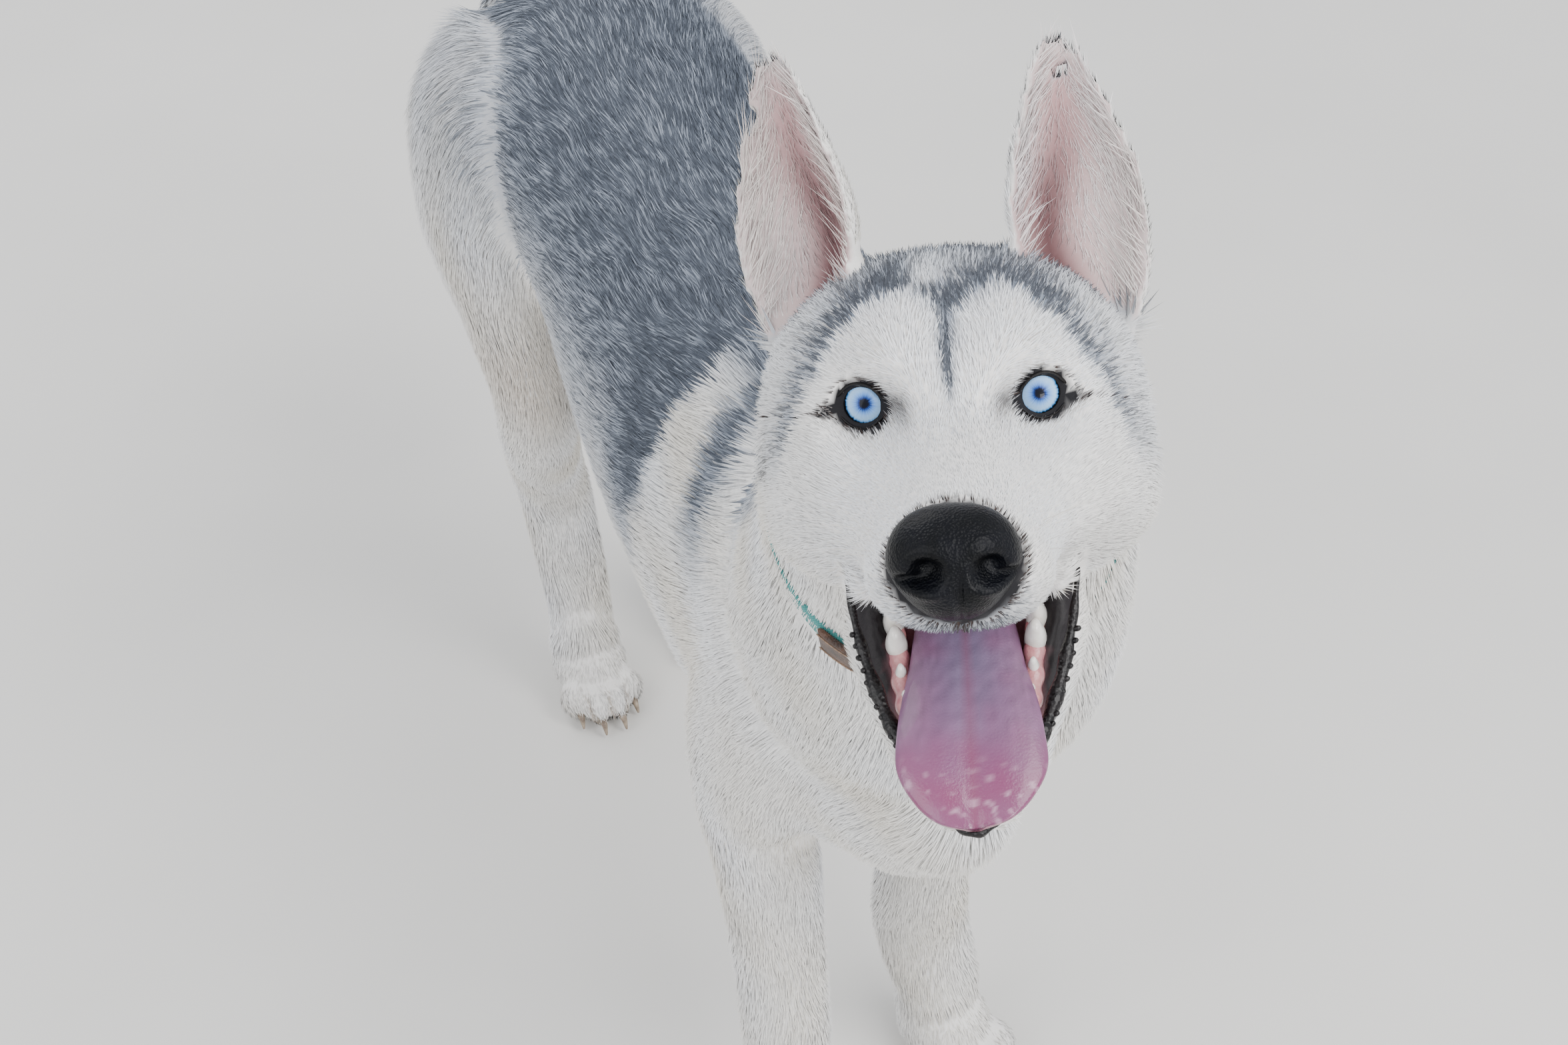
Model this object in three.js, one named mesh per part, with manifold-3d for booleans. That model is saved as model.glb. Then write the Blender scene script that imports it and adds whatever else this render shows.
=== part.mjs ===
// A life-size young Siberian husky that stands and looks up, mouth open, tongue out, with a collar on.
// Millimetres, +Z up. The dog faces -Y and its left side is +X. Each flesh part is a loft of rings.
import * as THREE from "three";
import { mergeVertices } from "three/addons/utils/BufferGeometryUtils.js";
import Module from "manifold-3d";

const wasm = await Module();
wasm.setup();

// Driving sizes of the dog
const GAP = 0.3; // between two parts that touch
const HEAD_AT = [-39, -207, 721]; // midpoint between the eyes
const HEAD_YAW = 22; // degrees that the head turns to the dog's right
const HEAD_PITCH = 27.5; // degrees that the muzzle points above the horizon
const HEAD_ROLL = 3.5; // degrees that the left eye stands above the right one
const EYE_RADIUS = 11;
const EYE_AT = [30, -9.5, 0]; // sideways, forward and up from the point between the eyes
const EYE_OUTWARD = 18; // degrees that each eye looks outward
const SOCKET = { out: 31, up: -1, wide: 16, high: 14, ahead: -3, slope: -0.32 };
const LID_HALF_WIDTH = 9.6;
const LID_HALF_HEIGHT = 7.8;
const LID_ROUND = 2.4;
const JAW_HINGE = [-40, -50]; // forward and up, in the head's frame
const JAW_DROP = 42; // degrees that the open jaw points below the muzzle
const NOSE_AT = [-1.5, 94, -35];
const NOSE_SIZE = [22.5, 17, 19.5]; // half width, half depth, half height
const COLLAR_ROW = 2.85; // place along the neck's rows
const COLLAR_WIDTH = 19;
const COLLAR_INNER = -12; // from the tips of the neck's coat
const COLLAR_OUTER = -7.5;
const KEEPER_FROM = 208; // degrees round the neck where the leather keeper starts
const KEEPER_SPAN = 22;
const KEEPER_THICK = 2.6;
const COLLAR_TILT = 10; // degrees that the collar hangs lower at the throat
const COAT_CORE = 10; // how far the core of the neck lies under the tips of its locks
const TAIL_CORE = 0.52; // width of the tail's core against the tips of its locks
const CHEST_TOP = 440; // height of the highest roots on the chest
const CHEST_DOME = 60; // how far back the chest's roundness is centred
const LOCK_GAP = 0.6; // between a lock and another part
const LOCK_SINK = 7; // depth of a lock's root in its core
const LOCK_THICK = 4; // half thickness of the widest locks
// Sets the middle of the finished dog's box on the origin
const ORIGIN_SHIFT = [5.5, -184.9, 0];

const WHITE = 0xe6e3dc;
const GREY = 0x8d9299;
const BLACK = 0x1b1a1c;
const PINK = 0xc07f92;
const BLUE = 0xa9cdee;
const TEAL = 0x4e9c9b;
const LEATHER = 0x5d4338;

// Torso: distance back, centre height, half width, half height
const TORSO = [
  [-142, 410, 10, 14],
  [-130, 410, 30, 42],
  [-106, 411, 43, 65],
  [-70, 410, 58, 98],
  [-15, 412, 74, 138],
  [60, 415, 85, 151],
  [140, 417, 89, 140],
  [220, 428, 88, 124],
  [300, 447, 84, 106],
  [370, 459, 84, 96],
  [430, 463, 84, 86],
  [478, 463, 74, 68],
  [508, 466, 50, 46],
  [520, 468, 22, 22],
];

// Neck: centre x, y, z, then half width and half depth
const NECK = [
  [7, -28, 440, 88, 96],
  [9, -62, 490, 94, 102],
  [5, -92, 545, 90, 89],
  [-7, -120, 598, 80, 79],
  [-16, -143, 648, 73, 70],
  [-24, -160, 690, 56, 52],
];

// Tail: it hangs and bends out, full in the middle
const TAIL = [
  [0, 492, 505, 24, 24],
  [0, 528, 492, 30, 30],
  [2, 568, 455, 37, 36],
  [5, 598, 402, 42, 41],
  [8, 618, 342, 44, 42],
  [10, 634, 282, 39, 37],
  [10, 652, 228, 27, 25],
  [9, 672, 190, 11, 10],
  [8, 680, 178, 3, 3],
];

// Legs, from the root down to the pastern
const FORE_RIGHT = [
  [-38, -10, 440, 24, 40],
  [-46, -6, 405, 34, 54],
  [-54, 10, 352, 35, 56],
  [-55, 22, 302, 33, 45],
  [-53, 12, 252, 29, 34],
  [-53, 0, 190, 26, 27],
  [-54, -8, 130, 25, 25],
  [-55, -12, 92, 24, 22],
  [-55, -18, 58, 22, 20],
  [-55, -26, 36, 19, 17],
];
const FORE_LEFT = [
  [38, 0, 440, 24, 40],
  [46, 8, 405, 34, 54],
  [54, 28, 352, 35, 56],
  [57, 48, 302, 33, 45],
  [57, 54, 252, 28, 34],
  [57, 60, 190, 25, 27],
  [54, 66, 130, 29, 25],
  [56, 66, 94, 29, 22],
  [61, 60, 62, 27, 20],
  [64, 54, 40, 22, 17],
];
const HIND_RIGHT = [
  [-46, 440, 512, 34, 42],
  [-62, 436, 474, 51, 68],
  [-74, 424, 412, 49, 80],
  [-75, 404, 352, 35, 64],
  [-72, 394, 300, 27, 46],
  [-67, 414, 248, 26, 36],
  [-59, 446, 196, 25, 28],
  [-51, 466, 150, 25, 25],
  [-48, 460, 108, 24, 21],
  [-47, 448, 70, 23, 19],
  [-48, 440, 46, 21, 18],
];
const HIP_SWAY = 16; // millimetres that the hips swing to the right
const HIND_LEFT_BACK = 18; // millimetres that the left hind foot stands further back

// Head, in its own frame: forward, top, bottom, half width, and how far its top narrows
const HEAD = [
  [-104, 10, -14, 14, 0],
  [-98, 26, -36, 38, 0],
  [-82, 42, -62, 62, 0],
  [-58, 49, -78, 73, 0],
  [-34, 47, -85, 76, 0],
  [-14, 39, -83, 67, 0.06],
  [4, 26, -70, 54, 0.16],
  [20, 10, -66, 42, 0.34],
  [36, 0, -67, 38, 0.38],
  [54, -6, -69, 34, 0.34],
  [72, -11, -67, 31, 0.28],
  [88, -15, -62, 27, 0.16],
  [98, -22, -56, 18, 0],
  [102, -30, -48, 9, 0],
];

// Lower jaw: distance from the hinge, top and bottom about the hinge line, half width
const JAW = [
  [8, 8, -26, 26],
  [16, 14, -34, 40],
  [42, 18, -38, 46],
  [63, 9, -36, 42],
  [88, 0, -30, 33],
  [111, -1, -24, 26],
  [127, -1, -16, 17],
  [134, -4, -10, 7],
];
// The hollow between the lower lips, in the same terms
const JAW_HOLLOW = [
  [38, 60, -4, 20],
  [46, 60, -12, 33],
  [63, 55, -14, 30],
  [88, 50, -13, 22],
  [111, 45, -11, 16],
  [122, 40, -5, 9],
];
// Tongue: distance from the hinge, height of its middle, half width, half thickness
const TONGUE = [
  [34, 0, 10, 3],
  [40, 0, 16, 5],
  [55, 2, 19, 5.5],
  [70, 5, 21, 5.5],
  [85, 8, 24, 5],
  [100, 9.5, 26, 4.6],
  [115, 9, 25, 4.2],
  [127, 7, 19, 3.6],
  [134, 5, 11, 2.8],
  [137, 4, 4, 1.6],
];
// Hollow of the upper mouth: forward, middle height, half width, half height
const PALATE = [
  [-18, -84, 10, 14],
  [-10, -84, 24, 24],
  [20, -84, 27, 27],
  [50, -85, 24, 27],
  [74, -84, 20, 26],
  [85, -84, 12, 20],
];
// Lower lip, right from the corner of the mouth: sideways, forward, up
const LIP = [
  [42, 3, -63],
  [38, 12, -84],
  [30, 26, -107],
  [24, 42, -124],
  [14, 54, -135],
  [0, 58, -138],
];

// Ear: height, half width, depth of the back, thickness, sideways lean
const EAR = [
  [-36, 14, 12, 8, 2],
  [-16, 22, 18, 8, 3],
  [4, 27.5, 22, 6.5, 1],
  [22, 28.5, 21, 5.5, 0],
  [40, 25, 17, 4.8, 0],
  [57, 19, 12.5, 4.2, 0],
  [71, 12.5, 8.5, 3.8, 0],
  [80, 7.5, 6, 3.4, 0],
  [85, 3, 3.4, 2.4, 0],
];
const EAR_AT = [-60, 40]; // forward, up
const EAR_OUT = { right: 56, left: 53 }; // sideways
const EAR_TURN = { right: 34, left: 16 }; // degrees that the cup faces outward
const EAR_LEAN = { right: 3, left: -6 }; // degrees that the tip leans outward
const EAR_NOD = -4; // degrees that the tip leans forward

const HALVES = { right: -1, left: 1 };
// Locks of the coat: place along the rows, how many round it, length, width and rise
const TAIL_LOCKS = [
  [0.8, 3, 70, 32, 10],
  [1.8, 5, 80, 40, 17],
  [2.8, 5, 84, 44, 20],
  [3.8, 5, 84, 44, 20],
  [4.8, 4, 78, 42, 17],
  [5.8, 3, 62, 30, 10],
];
const NECK_LOCKS = [
  [0.75, 8, 80, 52, 15],
  [1.5, 8, 78, 52, 14],
  [2.3, 7, 52, 50, 11],
  [3.35, 6, 50, 48, 10],
];
const CHEST_LOCKS = [
  [1.1, 3, 52, 28, 8],
  [2.1, 6, 66, 42, 8],
  [3.1, 7, 74, 48, 8],
];
// Cheek locks in the head's frame: sideways, forward, up, length, width and rise
const CHEEK_LOCKS = [
  [70, -52, -22, 40, 26, 7],
  [66, -30, -48, 40, 26, 7],
  [70, -66, -44, 42, 28, 7],
  [56, -52, -68, 42, 28, 7],
];
// Breeches on a thigh: place along the leg's rows, angle round it, length, width and rise
const BREECHES = [
  [0.9, -78, 66, 36, 9],
  [1.6, -50, 66, 36, 8],
  [1.8, -104, 66, 36, 9],
  [2.5, -72, 60, 34, 9],
  [3.3, -92, 52, 28, 7],
];
const deg = THREE.MathUtils.degToRad;
const v3 = (x, y, z) => new THREE.Vector3(x, y, z);

// The values of a table at a fractional row, on a Catmull-Rom spline through its rows.
function along(rows, t) {
  const last = rows.length - 1;
  const i = Math.min(last - 1, Math.floor(t));
  const f = t - i;
  const row = (k) => rows[Math.max(0, Math.min(last, k))];
  return rows[i].map((_, c) => {
    const [a, b, d, e] = [-1, 0, 1, 2].map((k) => row(i + k)[c]);
    const bend = (2 * a - 5 * b + 4 * d - e) * f * f;
    return 0.5 * (2 * b + (d - a) * f + bend + (3 * b - 3 * d + e - a) * f ** 3);
  });
}

// One point of an oval with slightly squared shoulders; turn is the angle from the +side axis.
function oval(turn, power = 0.9) {
  const [c, s] = [Math.cos(turn), Math.sin(turn)];
  return [Math.sign(c) * Math.abs(c) ** power, Math.sign(s) * Math.abs(s) ** power];
}

// A closed body through rings of equal length, with a fan over each end.
function loft(rings) {
  const sides = rings[0].length;
  const points = rings.flat();
  const faces = [];
  for (let r = 0; r + 1 < rings.length; r++)
    for (let k = 0; k < sides; k++) {
      const [a, b] = [r * sides + k, r * sides + ((k + 1) % sides)];
      faces.push(a, b, b + sides, a, b + sides, a + sides);
    }
  for (const [ring, start, flip] of [
    [rings[0], 0, true],
    [rings.at(-1), (rings.length - 1) * sides, false],
  ]) {
    const middle = ring.reduce((sum, p) => sum.add(p), v3(0, 0, 0)).divideScalar(sides);
    points.push(middle);
    for (let k = 0; k < sides; k++) {
      const [a, b] = [start + k, start + ((k + 1) % sides)];
      faces.push(...(flip ? [b, a] : [a, b]), points.length - 1);
    }
  }
  return bodyOf(points, faces);
}

// A manifold solid from points and triangles, turned to face out.
function bodyOf(points, faces) {
  const geometry = new THREE.BufferGeometry().setFromPoints(points).setIndex(faces);
  return solidOf(geometry);
}

function solidOf(geometry) {
  geometry.deleteAttribute("normal");
  geometry.deleteAttribute("uv");
  const merged = mergeVertices(geometry, 1e-4);
  const make = (triVerts) =>
    new wasm.Manifold(
      new wasm.Mesh({
        numProp: 3,
        vertProperties: merged.attributes.position.array,
        triVerts: new Uint32Array(triVerts),
      }),
    );
  const triangles = [...merged.index.array];
  const made = make(triangles);
  return made.volume() > 0 ? made : make(triangles.reverse());
}

// Rings round a bent axis given by rows of x, y, z, half width, half depth.
function limbRing(rows, t, sides, grow = 0) {
  const at = (s) => v3(...along(rows, Math.max(0, Math.min(rows.length - 1, s))));
  const [x, y, z, wide, deep] = along(rows, t);
  const run = at(t + 0.05).sub(at(t - 0.05)).normalize();
  const side = v3(1, 0, 0).addScaledVector(run, -run.x).normalize();
  const front = v3(0, 0, 0).crossVectors(run, side);
  return Array.from({ length: sides }, (_, k) => {
    const [c, s] = oval((2 * Math.PI * k) / sides, 0.94);
    return v3(x, y, z)
      .addScaledVector(side, c * (wide + grow))
      .addScaledVector(front, s * (deep + grow));
  });
}

function limb(rows, sides, steps, grow = 0) {
  const count = (rows.length - 1) * steps;
  return loft(
    Array.from({ length: count + 1 }, (_, i) => limbRing(rows, i / steps, sides, grow)),
  );
}

const torsoRows = TORSO.map(([y, z, wide, high]) => [0, y, z, wide, high]);
const torso = (grow = 0) => limb(torsoRows, 18, 2, grow);
const neck = (grow = 0) => limb(NECK, 16, 2, grow);
const tailCore = TAIL.map(([x, y, z, w, d]) => [x, y, z, w * TAIL_CORE, d * TAIL_CORE]);

// Repeatable random numbers from 0 to 1
function seeded(seed) {
  let state = seed;
  return () => {
    state = (state * 1664525 + 1013904223) % 4294967296;
    return state / 4294967296;
  };
}

// A flat, tapered lock of hair that leaves its root, lies along the coat and ends in a point.
// lie is the way it runs, out the way off the skin, rise the height of its tip above the root.
function lock({ root, lie, out, long, wide, rise, sway = 0, grow = 0 }) {
  const flow = lie.clone().addScaledVector(out, -lie.dot(out)).normalize();
  const side = v3(0, 0, 0).crossVectors(out, flow).normalize();
  const before = (4 * grow) / long;
  const climb = (rise * 0.66 + LOCK_SINK) / 0.36;
  const spine = [
    [-before, -LOCK_SINK - before * climb, 0.7, 0.6],
    [0.36, rise * 0.66, 1, 1],
    [0.72, rise * 0.96, 0.56, 0.7],
  ];
  const points = [];
  for (const [run, high, w, t] of spine) {
    const middle = root
      .clone()
      .addScaledVector(flow, run * long)
      .addScaledVector(out, high)
      .addScaledVector(side, sway * run * run * long);
    for (const [a, b] of [
      [1, -0.4],
      [0, 1],
      [-1, -0.4],
    ])
      points.push(
        middle
          .clone()
          .addScaledVector(side, a * ((w * wide) / 2 + 3 * grow))
          .addScaledVector(out, b * t * Math.min(LOCK_THICK, wide * 0.16) + (b > 0 ? 2 : -0.5) * grow),
      );
  }
  const tip = root.clone().addScaledVector(flow, long + 4 * grow).addScaledVector(out, rise);
  points.push(tip.addScaledVector(side, sway * long));
  const faces = [0, 1, 2];
  for (let r = 0; r < 2; r++)
    for (let k = 0; k < 3; k++) {
      const [a, b] = [r * 3 + k, r * 3 + ((k + 1) % 3)];
      faces.push(a, b + 3, b, a, a + 3, b + 3);
    }
  for (let k = 0; k < 3; k++) faces.push(6 + k, 9, 6 + ((k + 1) % 3));
  return bodyOf(points, faces);
}

// Rings of locks round a limb's core: each row is a place along it, a count, length, width and rise
function locksRound(rows, bands, { seed, toward, fall = 0, dome = 0, grow = 0, cover = () => true }) {
  const random = seeded(seed);
  const locks = [];
  bands.forEach(([t, count, long, wide, rise], band) => {
    const centre = v3(...along(rows, t));
    const run = v3(...along(rows, t + 0.05)).sub(v3(...along(rows, t - 0.05)));
    const ring = limbRing(rows, t, count * 4);
    for (let k = 0; k < count; k++) {
      const root = ring[(k * 4 + (band % 2) * 2 + Math.floor(random() * 2)) % ring.length];
      const out = root.clone().sub(centre).addScaledVector(run.clone().normalize(), -dome).normalize();
      const stretch = 0.85 + 0.3 * random();
      const sway = (random() - 0.5) * 0.35;
      if (!cover(root)) continue;
      const lie = run.clone().normalize().multiplyScalar(toward).add(v3(0, 0, -fall));
      locks.push(lock({ root, lie, out, long: long * stretch, wide, rise, sway, grow }));
    }
  });
  return locks;
}

// A limb's rows, made wider or narrower all round
const coreOf = (rows, grow) => rows.map(([x, y, z, w, d]) => [x, y, z, w + grow, d + grow]);

// Locks on one side of a body: place along its rows, angle round it, length, width, rise, and lie
function locksAt(rows, places, { seed, lie, side = 1, grow = 0 }) {
  const random = seeded(seed);
  return places.map(([t, turn, long, wide, rise]) => {
    const centre = v3(...along(rows, t));
    const [, , , w, d] = along(rows, t);
    const run = v3(...along(rows, t + 0.05)).sub(v3(...along(rows, t - 0.05))).normalize();
    const across = v3(1, 0, 0).addScaledVector(run, -run.x).normalize();
    const front = v3(0, 0, 0).crossVectors(run, across);
    const [c, s] = oval(deg(turn), 0.94);
    const arm = across.multiplyScalar(side * c * (w + grow)).addScaledVector(front, s * (d + grow));
    const root = centre.clone().add(arm);
    const out = arm.normalize();
    const sway = (random() - 0.5) * 0.3;
    return lock({ root, lie: v3(...lie), out, long, wide, rise, sway });
  });
}

// Locks down the back of a thigh, which hang and turn a little outward
const breeches = (rows, half) =>
  locksAt(rows, BREECHES, {
    seed: half === "left" ? 31 : 37,
    lie: [0.12 * HALVES[half], 0.25, -1],
    side: HALVES[half],
  });

// Cheek tufts on one side of the head, in the head's frame
function cheeks(side, grow = 0) {
  const random = seeded(side > 0 ? 41 : 43);
  return CHEEK_LOCKS.map(([x, forward, up, long, wide, rise]) => {
    const root = inHead(side * (x - 3), forward, up);
    const out = inHead(side * x, forward * 0.2, up * 0.7).normalize();
    const sway = (random() - 0.5) * 0.3;
    return lock({ root, lie: v3(side * 0.25, 1, -0.75), out, long, wide, rise, sway, grow });
  });
}

// The head's frame as a matrix: x is its left, y points back, z is up, as in the body's frame
const headMatrix = new THREE.Matrix4()
  .makeRotationFromEuler(
    new THREE.Euler(deg(-HEAD_PITCH), deg(-HEAD_ROLL), deg(-HEAD_YAW), "ZXY"),
  )
  .setPosition(...HEAD_AT);
const inBody = (solid) => transformed(solid, headMatrix);

function transformed(solid, matrix) {
  const m = solid.getMesh();
  const points = [];
  for (let i = 0; i < m.numVert; i++)
    points.push(v3(...m.vertProperties.subarray(i * 3, i * 3 + 3)).applyMatrix4(matrix));
  return bodyOf(points, [...m.triVerts]);
}

// Soft swellings and dents of the face: place, radius and push, each sideways, forward, up
const FACE = [
  [[24, 2, 21], 14, [0, 4, 3]], // brow
  [[0, -4, 26], 12, [0, -2, -3]], // furrow between the brows
  [[0, 18, 4], 15, [0, 0, -4]], // stop
  [[52, 0, -34], 20, [3, 3, 0]], // cheek bone
  [[62, -30, -52], 26, [6, 0, -3]], // cheek fur
  [[25, 74, -48], 16, [3, 2, 0]], // whisker pad
  [[40, 14, -52], 18, [5, 2, 0]], // corner of the lips
];

function shaped(point) {
  const pushed = point.clone();
  for (const [[x, f, u], radius, [out, ahead, up]] of FACE)
    for (const side of x ? [-1, 1] : [1]) {
      const near = Math.exp(-point.distanceToSquared(v3(x * side, -f, u)) / radius ** 2);
      pushed.addScaledVector(v3(out * side, -ahead, up), near);
    }
  const out = (Math.abs(pushed.x) - SOCKET.out) / SOCKET.wide;
  const high = (pushed.z - SOCKET.up) / SOCKET.high;
  const near = Math.exp(-((out ** 2 + high ** 2) ** 2));
  const floor = -(SOCKET.ahead + SOCKET.slope * out * SOCKET.wide);
  if (pushed.y < floor) pushed.y += near * (floor - pushed.y);
  return pushed;
}

function head(grow = 0) {
  const steps = 2;
  const sides = 24;
  const rings = [];
  for (let i = 0; i <= (HEAD.length - 1) * steps; i++) {
    const [forward, top, bottom, wide, pinch] = along(HEAD, i / steps);
    const middle = bottom + (top - bottom) * 0.46;
    rings.push(
      Array.from({ length: sides }, (_, k) => {
        const [c, s] = oval((2 * Math.PI * k) / sides, 0.86);
        const high = s > 0 ? top - middle : middle - bottom;
        const narrow = 1 - pinch * Math.max(0, s);
        return shaped(v3(c * narrow * (wide + grow), -forward, middle + s * (high + grow)));
      }),
    );
  }
  return loft(rings);
}

// A point in the head's frame from sideways, forward and up
const inHead = (side, forward, up) => v3(side, -forward, up);

// A point on the jaw's line: distance from the hinge, sideways, height about the line
function onJaw(run, side, rise) {
  const [c, s] = [Math.cos(deg(JAW_DROP)), Math.sin(deg(JAW_DROP))];
  return inHead(side, JAW_HINGE[0] + c * run + s * rise, JAW_HINGE[1] - s * run + c * rise);
}

const sphere = (radius, at, scale = [1, 1, 1], wide = 12, high = 8) =>
  solidOf(
    new THREE.SphereGeometry(radius, wide, high)
      .rotateX(Math.PI / 2)
      .scale(...scale)
      .translate(...at),
  );
const box = (size, at) => solidOf(new THREE.BoxGeometry(...size).translate(...at));
const union = (solids) => solids.reduce((sum, s) => sum.add(s));

// A tapered, bent cone through points, with a radius at each of them.
function horn(points, radii, sides = 6) {
  const curve = new THREE.CatmullRomCurve3(points);
  const last = points.length - 1;
  const rings = points.map((p, i) => {
    const run = curve.getTangent(i / last);
    const side = Math.abs(run.x) < 0.8 ? v3(1, 0, 0) : v3(0, 1, 0);
    side.addScaledVector(run, -side.dot(run)).normalize();
    const front = v3(0, 0, 0).crossVectors(run, side);
    return Array.from({ length: sides }, (_, k) => {
      const turn = (2 * Math.PI * k) / sides;
      return p
        .clone()
        .addScaledVector(side, radii[i] * Math.cos(turn))
        .addScaledVector(front, radii[i] * Math.sin(turn));
    });
  });
  return loft(rings);
}

// Jaw parts: an oval at each distance from the hinge
function jawLoft(rows, sides, steps, grow = 0) {
  const rings = [];
  for (let i = 0; i <= (rows.length - 1) * steps; i++) {
    const [run, top, bottom, wide] = along(rows, i / steps);
    const middle = (top + bottom) / 2;
    rings.push(
      Array.from({ length: sides }, (_, k) => {
        const [c, s] = oval((2 * Math.PI * k) / sides, 0.85);
        return onJaw(run, c * (wide + grow), middle + s * ((top - bottom) / 2 + grow));
      }),
    );
  }
  return loft(rings);
}

// A tongue with a groove down its middle
function tongue(grow = 0) {
  const sides = 14;
  const rings = [];
  for (let i = 0; i <= TONGUE.length - 1; i++) {
    const [run, middle, wide, thick] = TONGUE[i];
    rings.push(
      Array.from({ length: sides }, (_, k) => {
        const [c, s] = oval((2 * Math.PI * k) / sides, 0.8);
        const groove = s > 0.9 ? -1.6 : 0;
        const droop = -0.12 * wide * c * c;
        return onJaw(run, c * (wide + grow), middle + groove + droop + s * (thick + grow));
      }),
    );
  }
  return loft(rings);
}

// One row of lower cheek teeth: distance from the hinge, height, half length
const LOWER_TEETH = [
  [52, 12, 5.5],
  [63, 13, 5.5],
  [73, 9, 4.2],
  [81, 7, 3.6],
];
function lowerTeeth() {
  const teeth = [];
  for (const side of [-1, 1])
    for (const [run, high, half] of LOWER_TEETH) {
      const out = side * (27.5 - 0.12 * (run - 40));
      teeth.push(
        horn(
          [onJaw(run, out, -18), onJaw(run + 1, out, -2 + high)],
          [half, 1.2],
          4,
        ),
      );
    }
  return union(teeth);
}

// Upper teeth that the open mouth shows: sideways, forward, length, half width
const UPPER_TEETH = [
  [16, 76, 10, 4],
  [20, 61, 5, 3.2],
  [22, 49, 6, 4],
  [24, 37, 8, 5],
  [25, 26, 6, 4.4],
  [3, 83, 4.5, 2.4],
  [9, 82, 5, 2.6],
];
const PALATE_TOP = -59;
function upperTeeth() {
  const teeth = [];
  for (const side of [-1, 1])
    for (const [out, forward, long, half] of UPPER_TEETH)
      teeth.push(
        horn(
          [
            inHead(side * out, forward, PALATE_TOP + 5),
            inHead(side * out, forward - 1, PALATE_TOP - long),
          ],
          [half, 0.8],
          4,
        ),
      );
  return union(teeth);
}

// The lower lip: a soft black bead with a row of small points on its edge
function lip() {
  const half = LIP.map(([side, forward, up]) => inHead(side, forward, up));
  const other = half.slice(0, -1).map((p) => v3(-p.x, p.y, p.z));
  const curve = new THREE.CatmullRomCurve3([...half, ...other.reverse()]);
  const count = 20;
  const points = curve.getPoints(count);
  const radii = points.map((_, i) => (i % 2 ? 3.4 : 2.5) * (i === 0 || i === count ? 0.5 : 1));
  return horn(points, radii, 5);
}

// A lid: a rounded ring round the eye's opening
function lid(side) {
  const sides = 16;
  const tube = 5;
  const [x, forward, up] = EYE_AT;
  const points = [];
  const faces = [];
  for (let i = 0; i < sides; i++) {
    const turn = (2 * Math.PI * i) / sides;
    const pinch = 1 - 0.18 * Math.abs(Math.cos(turn)) ** 3;
    for (let k = 0; k < tube; k++) {
      const around = (2 * Math.PI * k) / tube;
      const swell = 1 + (LID_ROUND * Math.cos(around)) / LID_HALF_WIDTH;
      const wide = LID_HALF_WIDTH * 1.08 * Math.cos(turn) * swell;
      const high = LID_HALF_HEIGHT * pinch * Math.sin(turn) * swell + 1.4 * Math.cos(turn);
      const back = Math.sqrt(Math.max(1, EYE_RADIUS ** 2 - wide ** 2 * 0.72 - high ** 2 * 0.72));
      const ahead = back + 0.8 + LID_ROUND * Math.sin(around);
      const [c, s] = [Math.cos(deg(EYE_OUTWARD)), Math.sin(deg(EYE_OUTWARD))];
      const out = wide * c + ahead * s;
      points.push(inHead(side * (x + out), forward + ahead * c - wide * s, up + high));
    }
  }
  for (let i = 0; i < sides; i++)
    for (let k = 0; k < tube; k++) {
      const [a, b] = [i * tube + k, i * tube + ((k + 1) % tube)];
      const [c, d] = [a, b].map((v) => (v + tube) % (sides * tube));
      faces.push(a, b, d, a, d, c);
    }
  return bodyOf(points, faces);
}

const eyeAt = (side) => inHead(side * EYE_AT[0], EYE_AT[1], EYE_AT[2]).toArray();
const eye = (side, grow = 0) => sphere(EYE_RADIUS + grow, eyeAt(side), [1, 1, 1], 10, 7);

// Nose: a blunt block with two open nostrils and a groove between them
function nose(grow = 0) {
  const [w, d, h] = NOSE_SIZE.map((size) => size + grow);
  const [x, forward, up] = NOSE_AT;
  const geometry = new THREE.SphereGeometry(1, 14, 9);
  const place = geometry.attributes.position;
  for (let i = 0; i < place.count; i++) {
    const p = v3(place.getX(i), place.getY(i), place.getZ(i));
    const square = p.clone();
    square.x = Math.sign(p.x) * Math.abs(p.x) ** 0.86;
    square.z = Math.sign(p.z) * Math.abs(p.z) ** 0.86;
    const narrow = square.z < 0 ? 1 + 0.42 * square.z : 1;
    place.setXYZ(i, x + square.x * w * narrow, -forward + square.y * d, up + square.z * h);
  }
  return solidOf(geometry);
}
function nostrils() {
  const [, forward, up] = NOSE_AT;
  const cuts = [-1, 1].flatMap((side) => [
    sphere(4.6, inHead(side * 10, forward + 15, up - 3).toArray(), [1, 1.5, 0.85], 6, 4),
    sphere(3.2, inHead(side * 15.5, forward + 11, up - 5).toArray(), [1.5, 1.6, 0.7], 6, 4),
  ]);
  const groove = horn(
    [
      inHead(0, forward + 21, up - 2),
      inHead(0, forward + 17.5, up - 10),
      inHead(0, forward + 10, up - 22),
    ],
    [1.2, 1.4, 1.2],
    5,
  );
  return union([...cuts, groove]);
}

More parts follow.
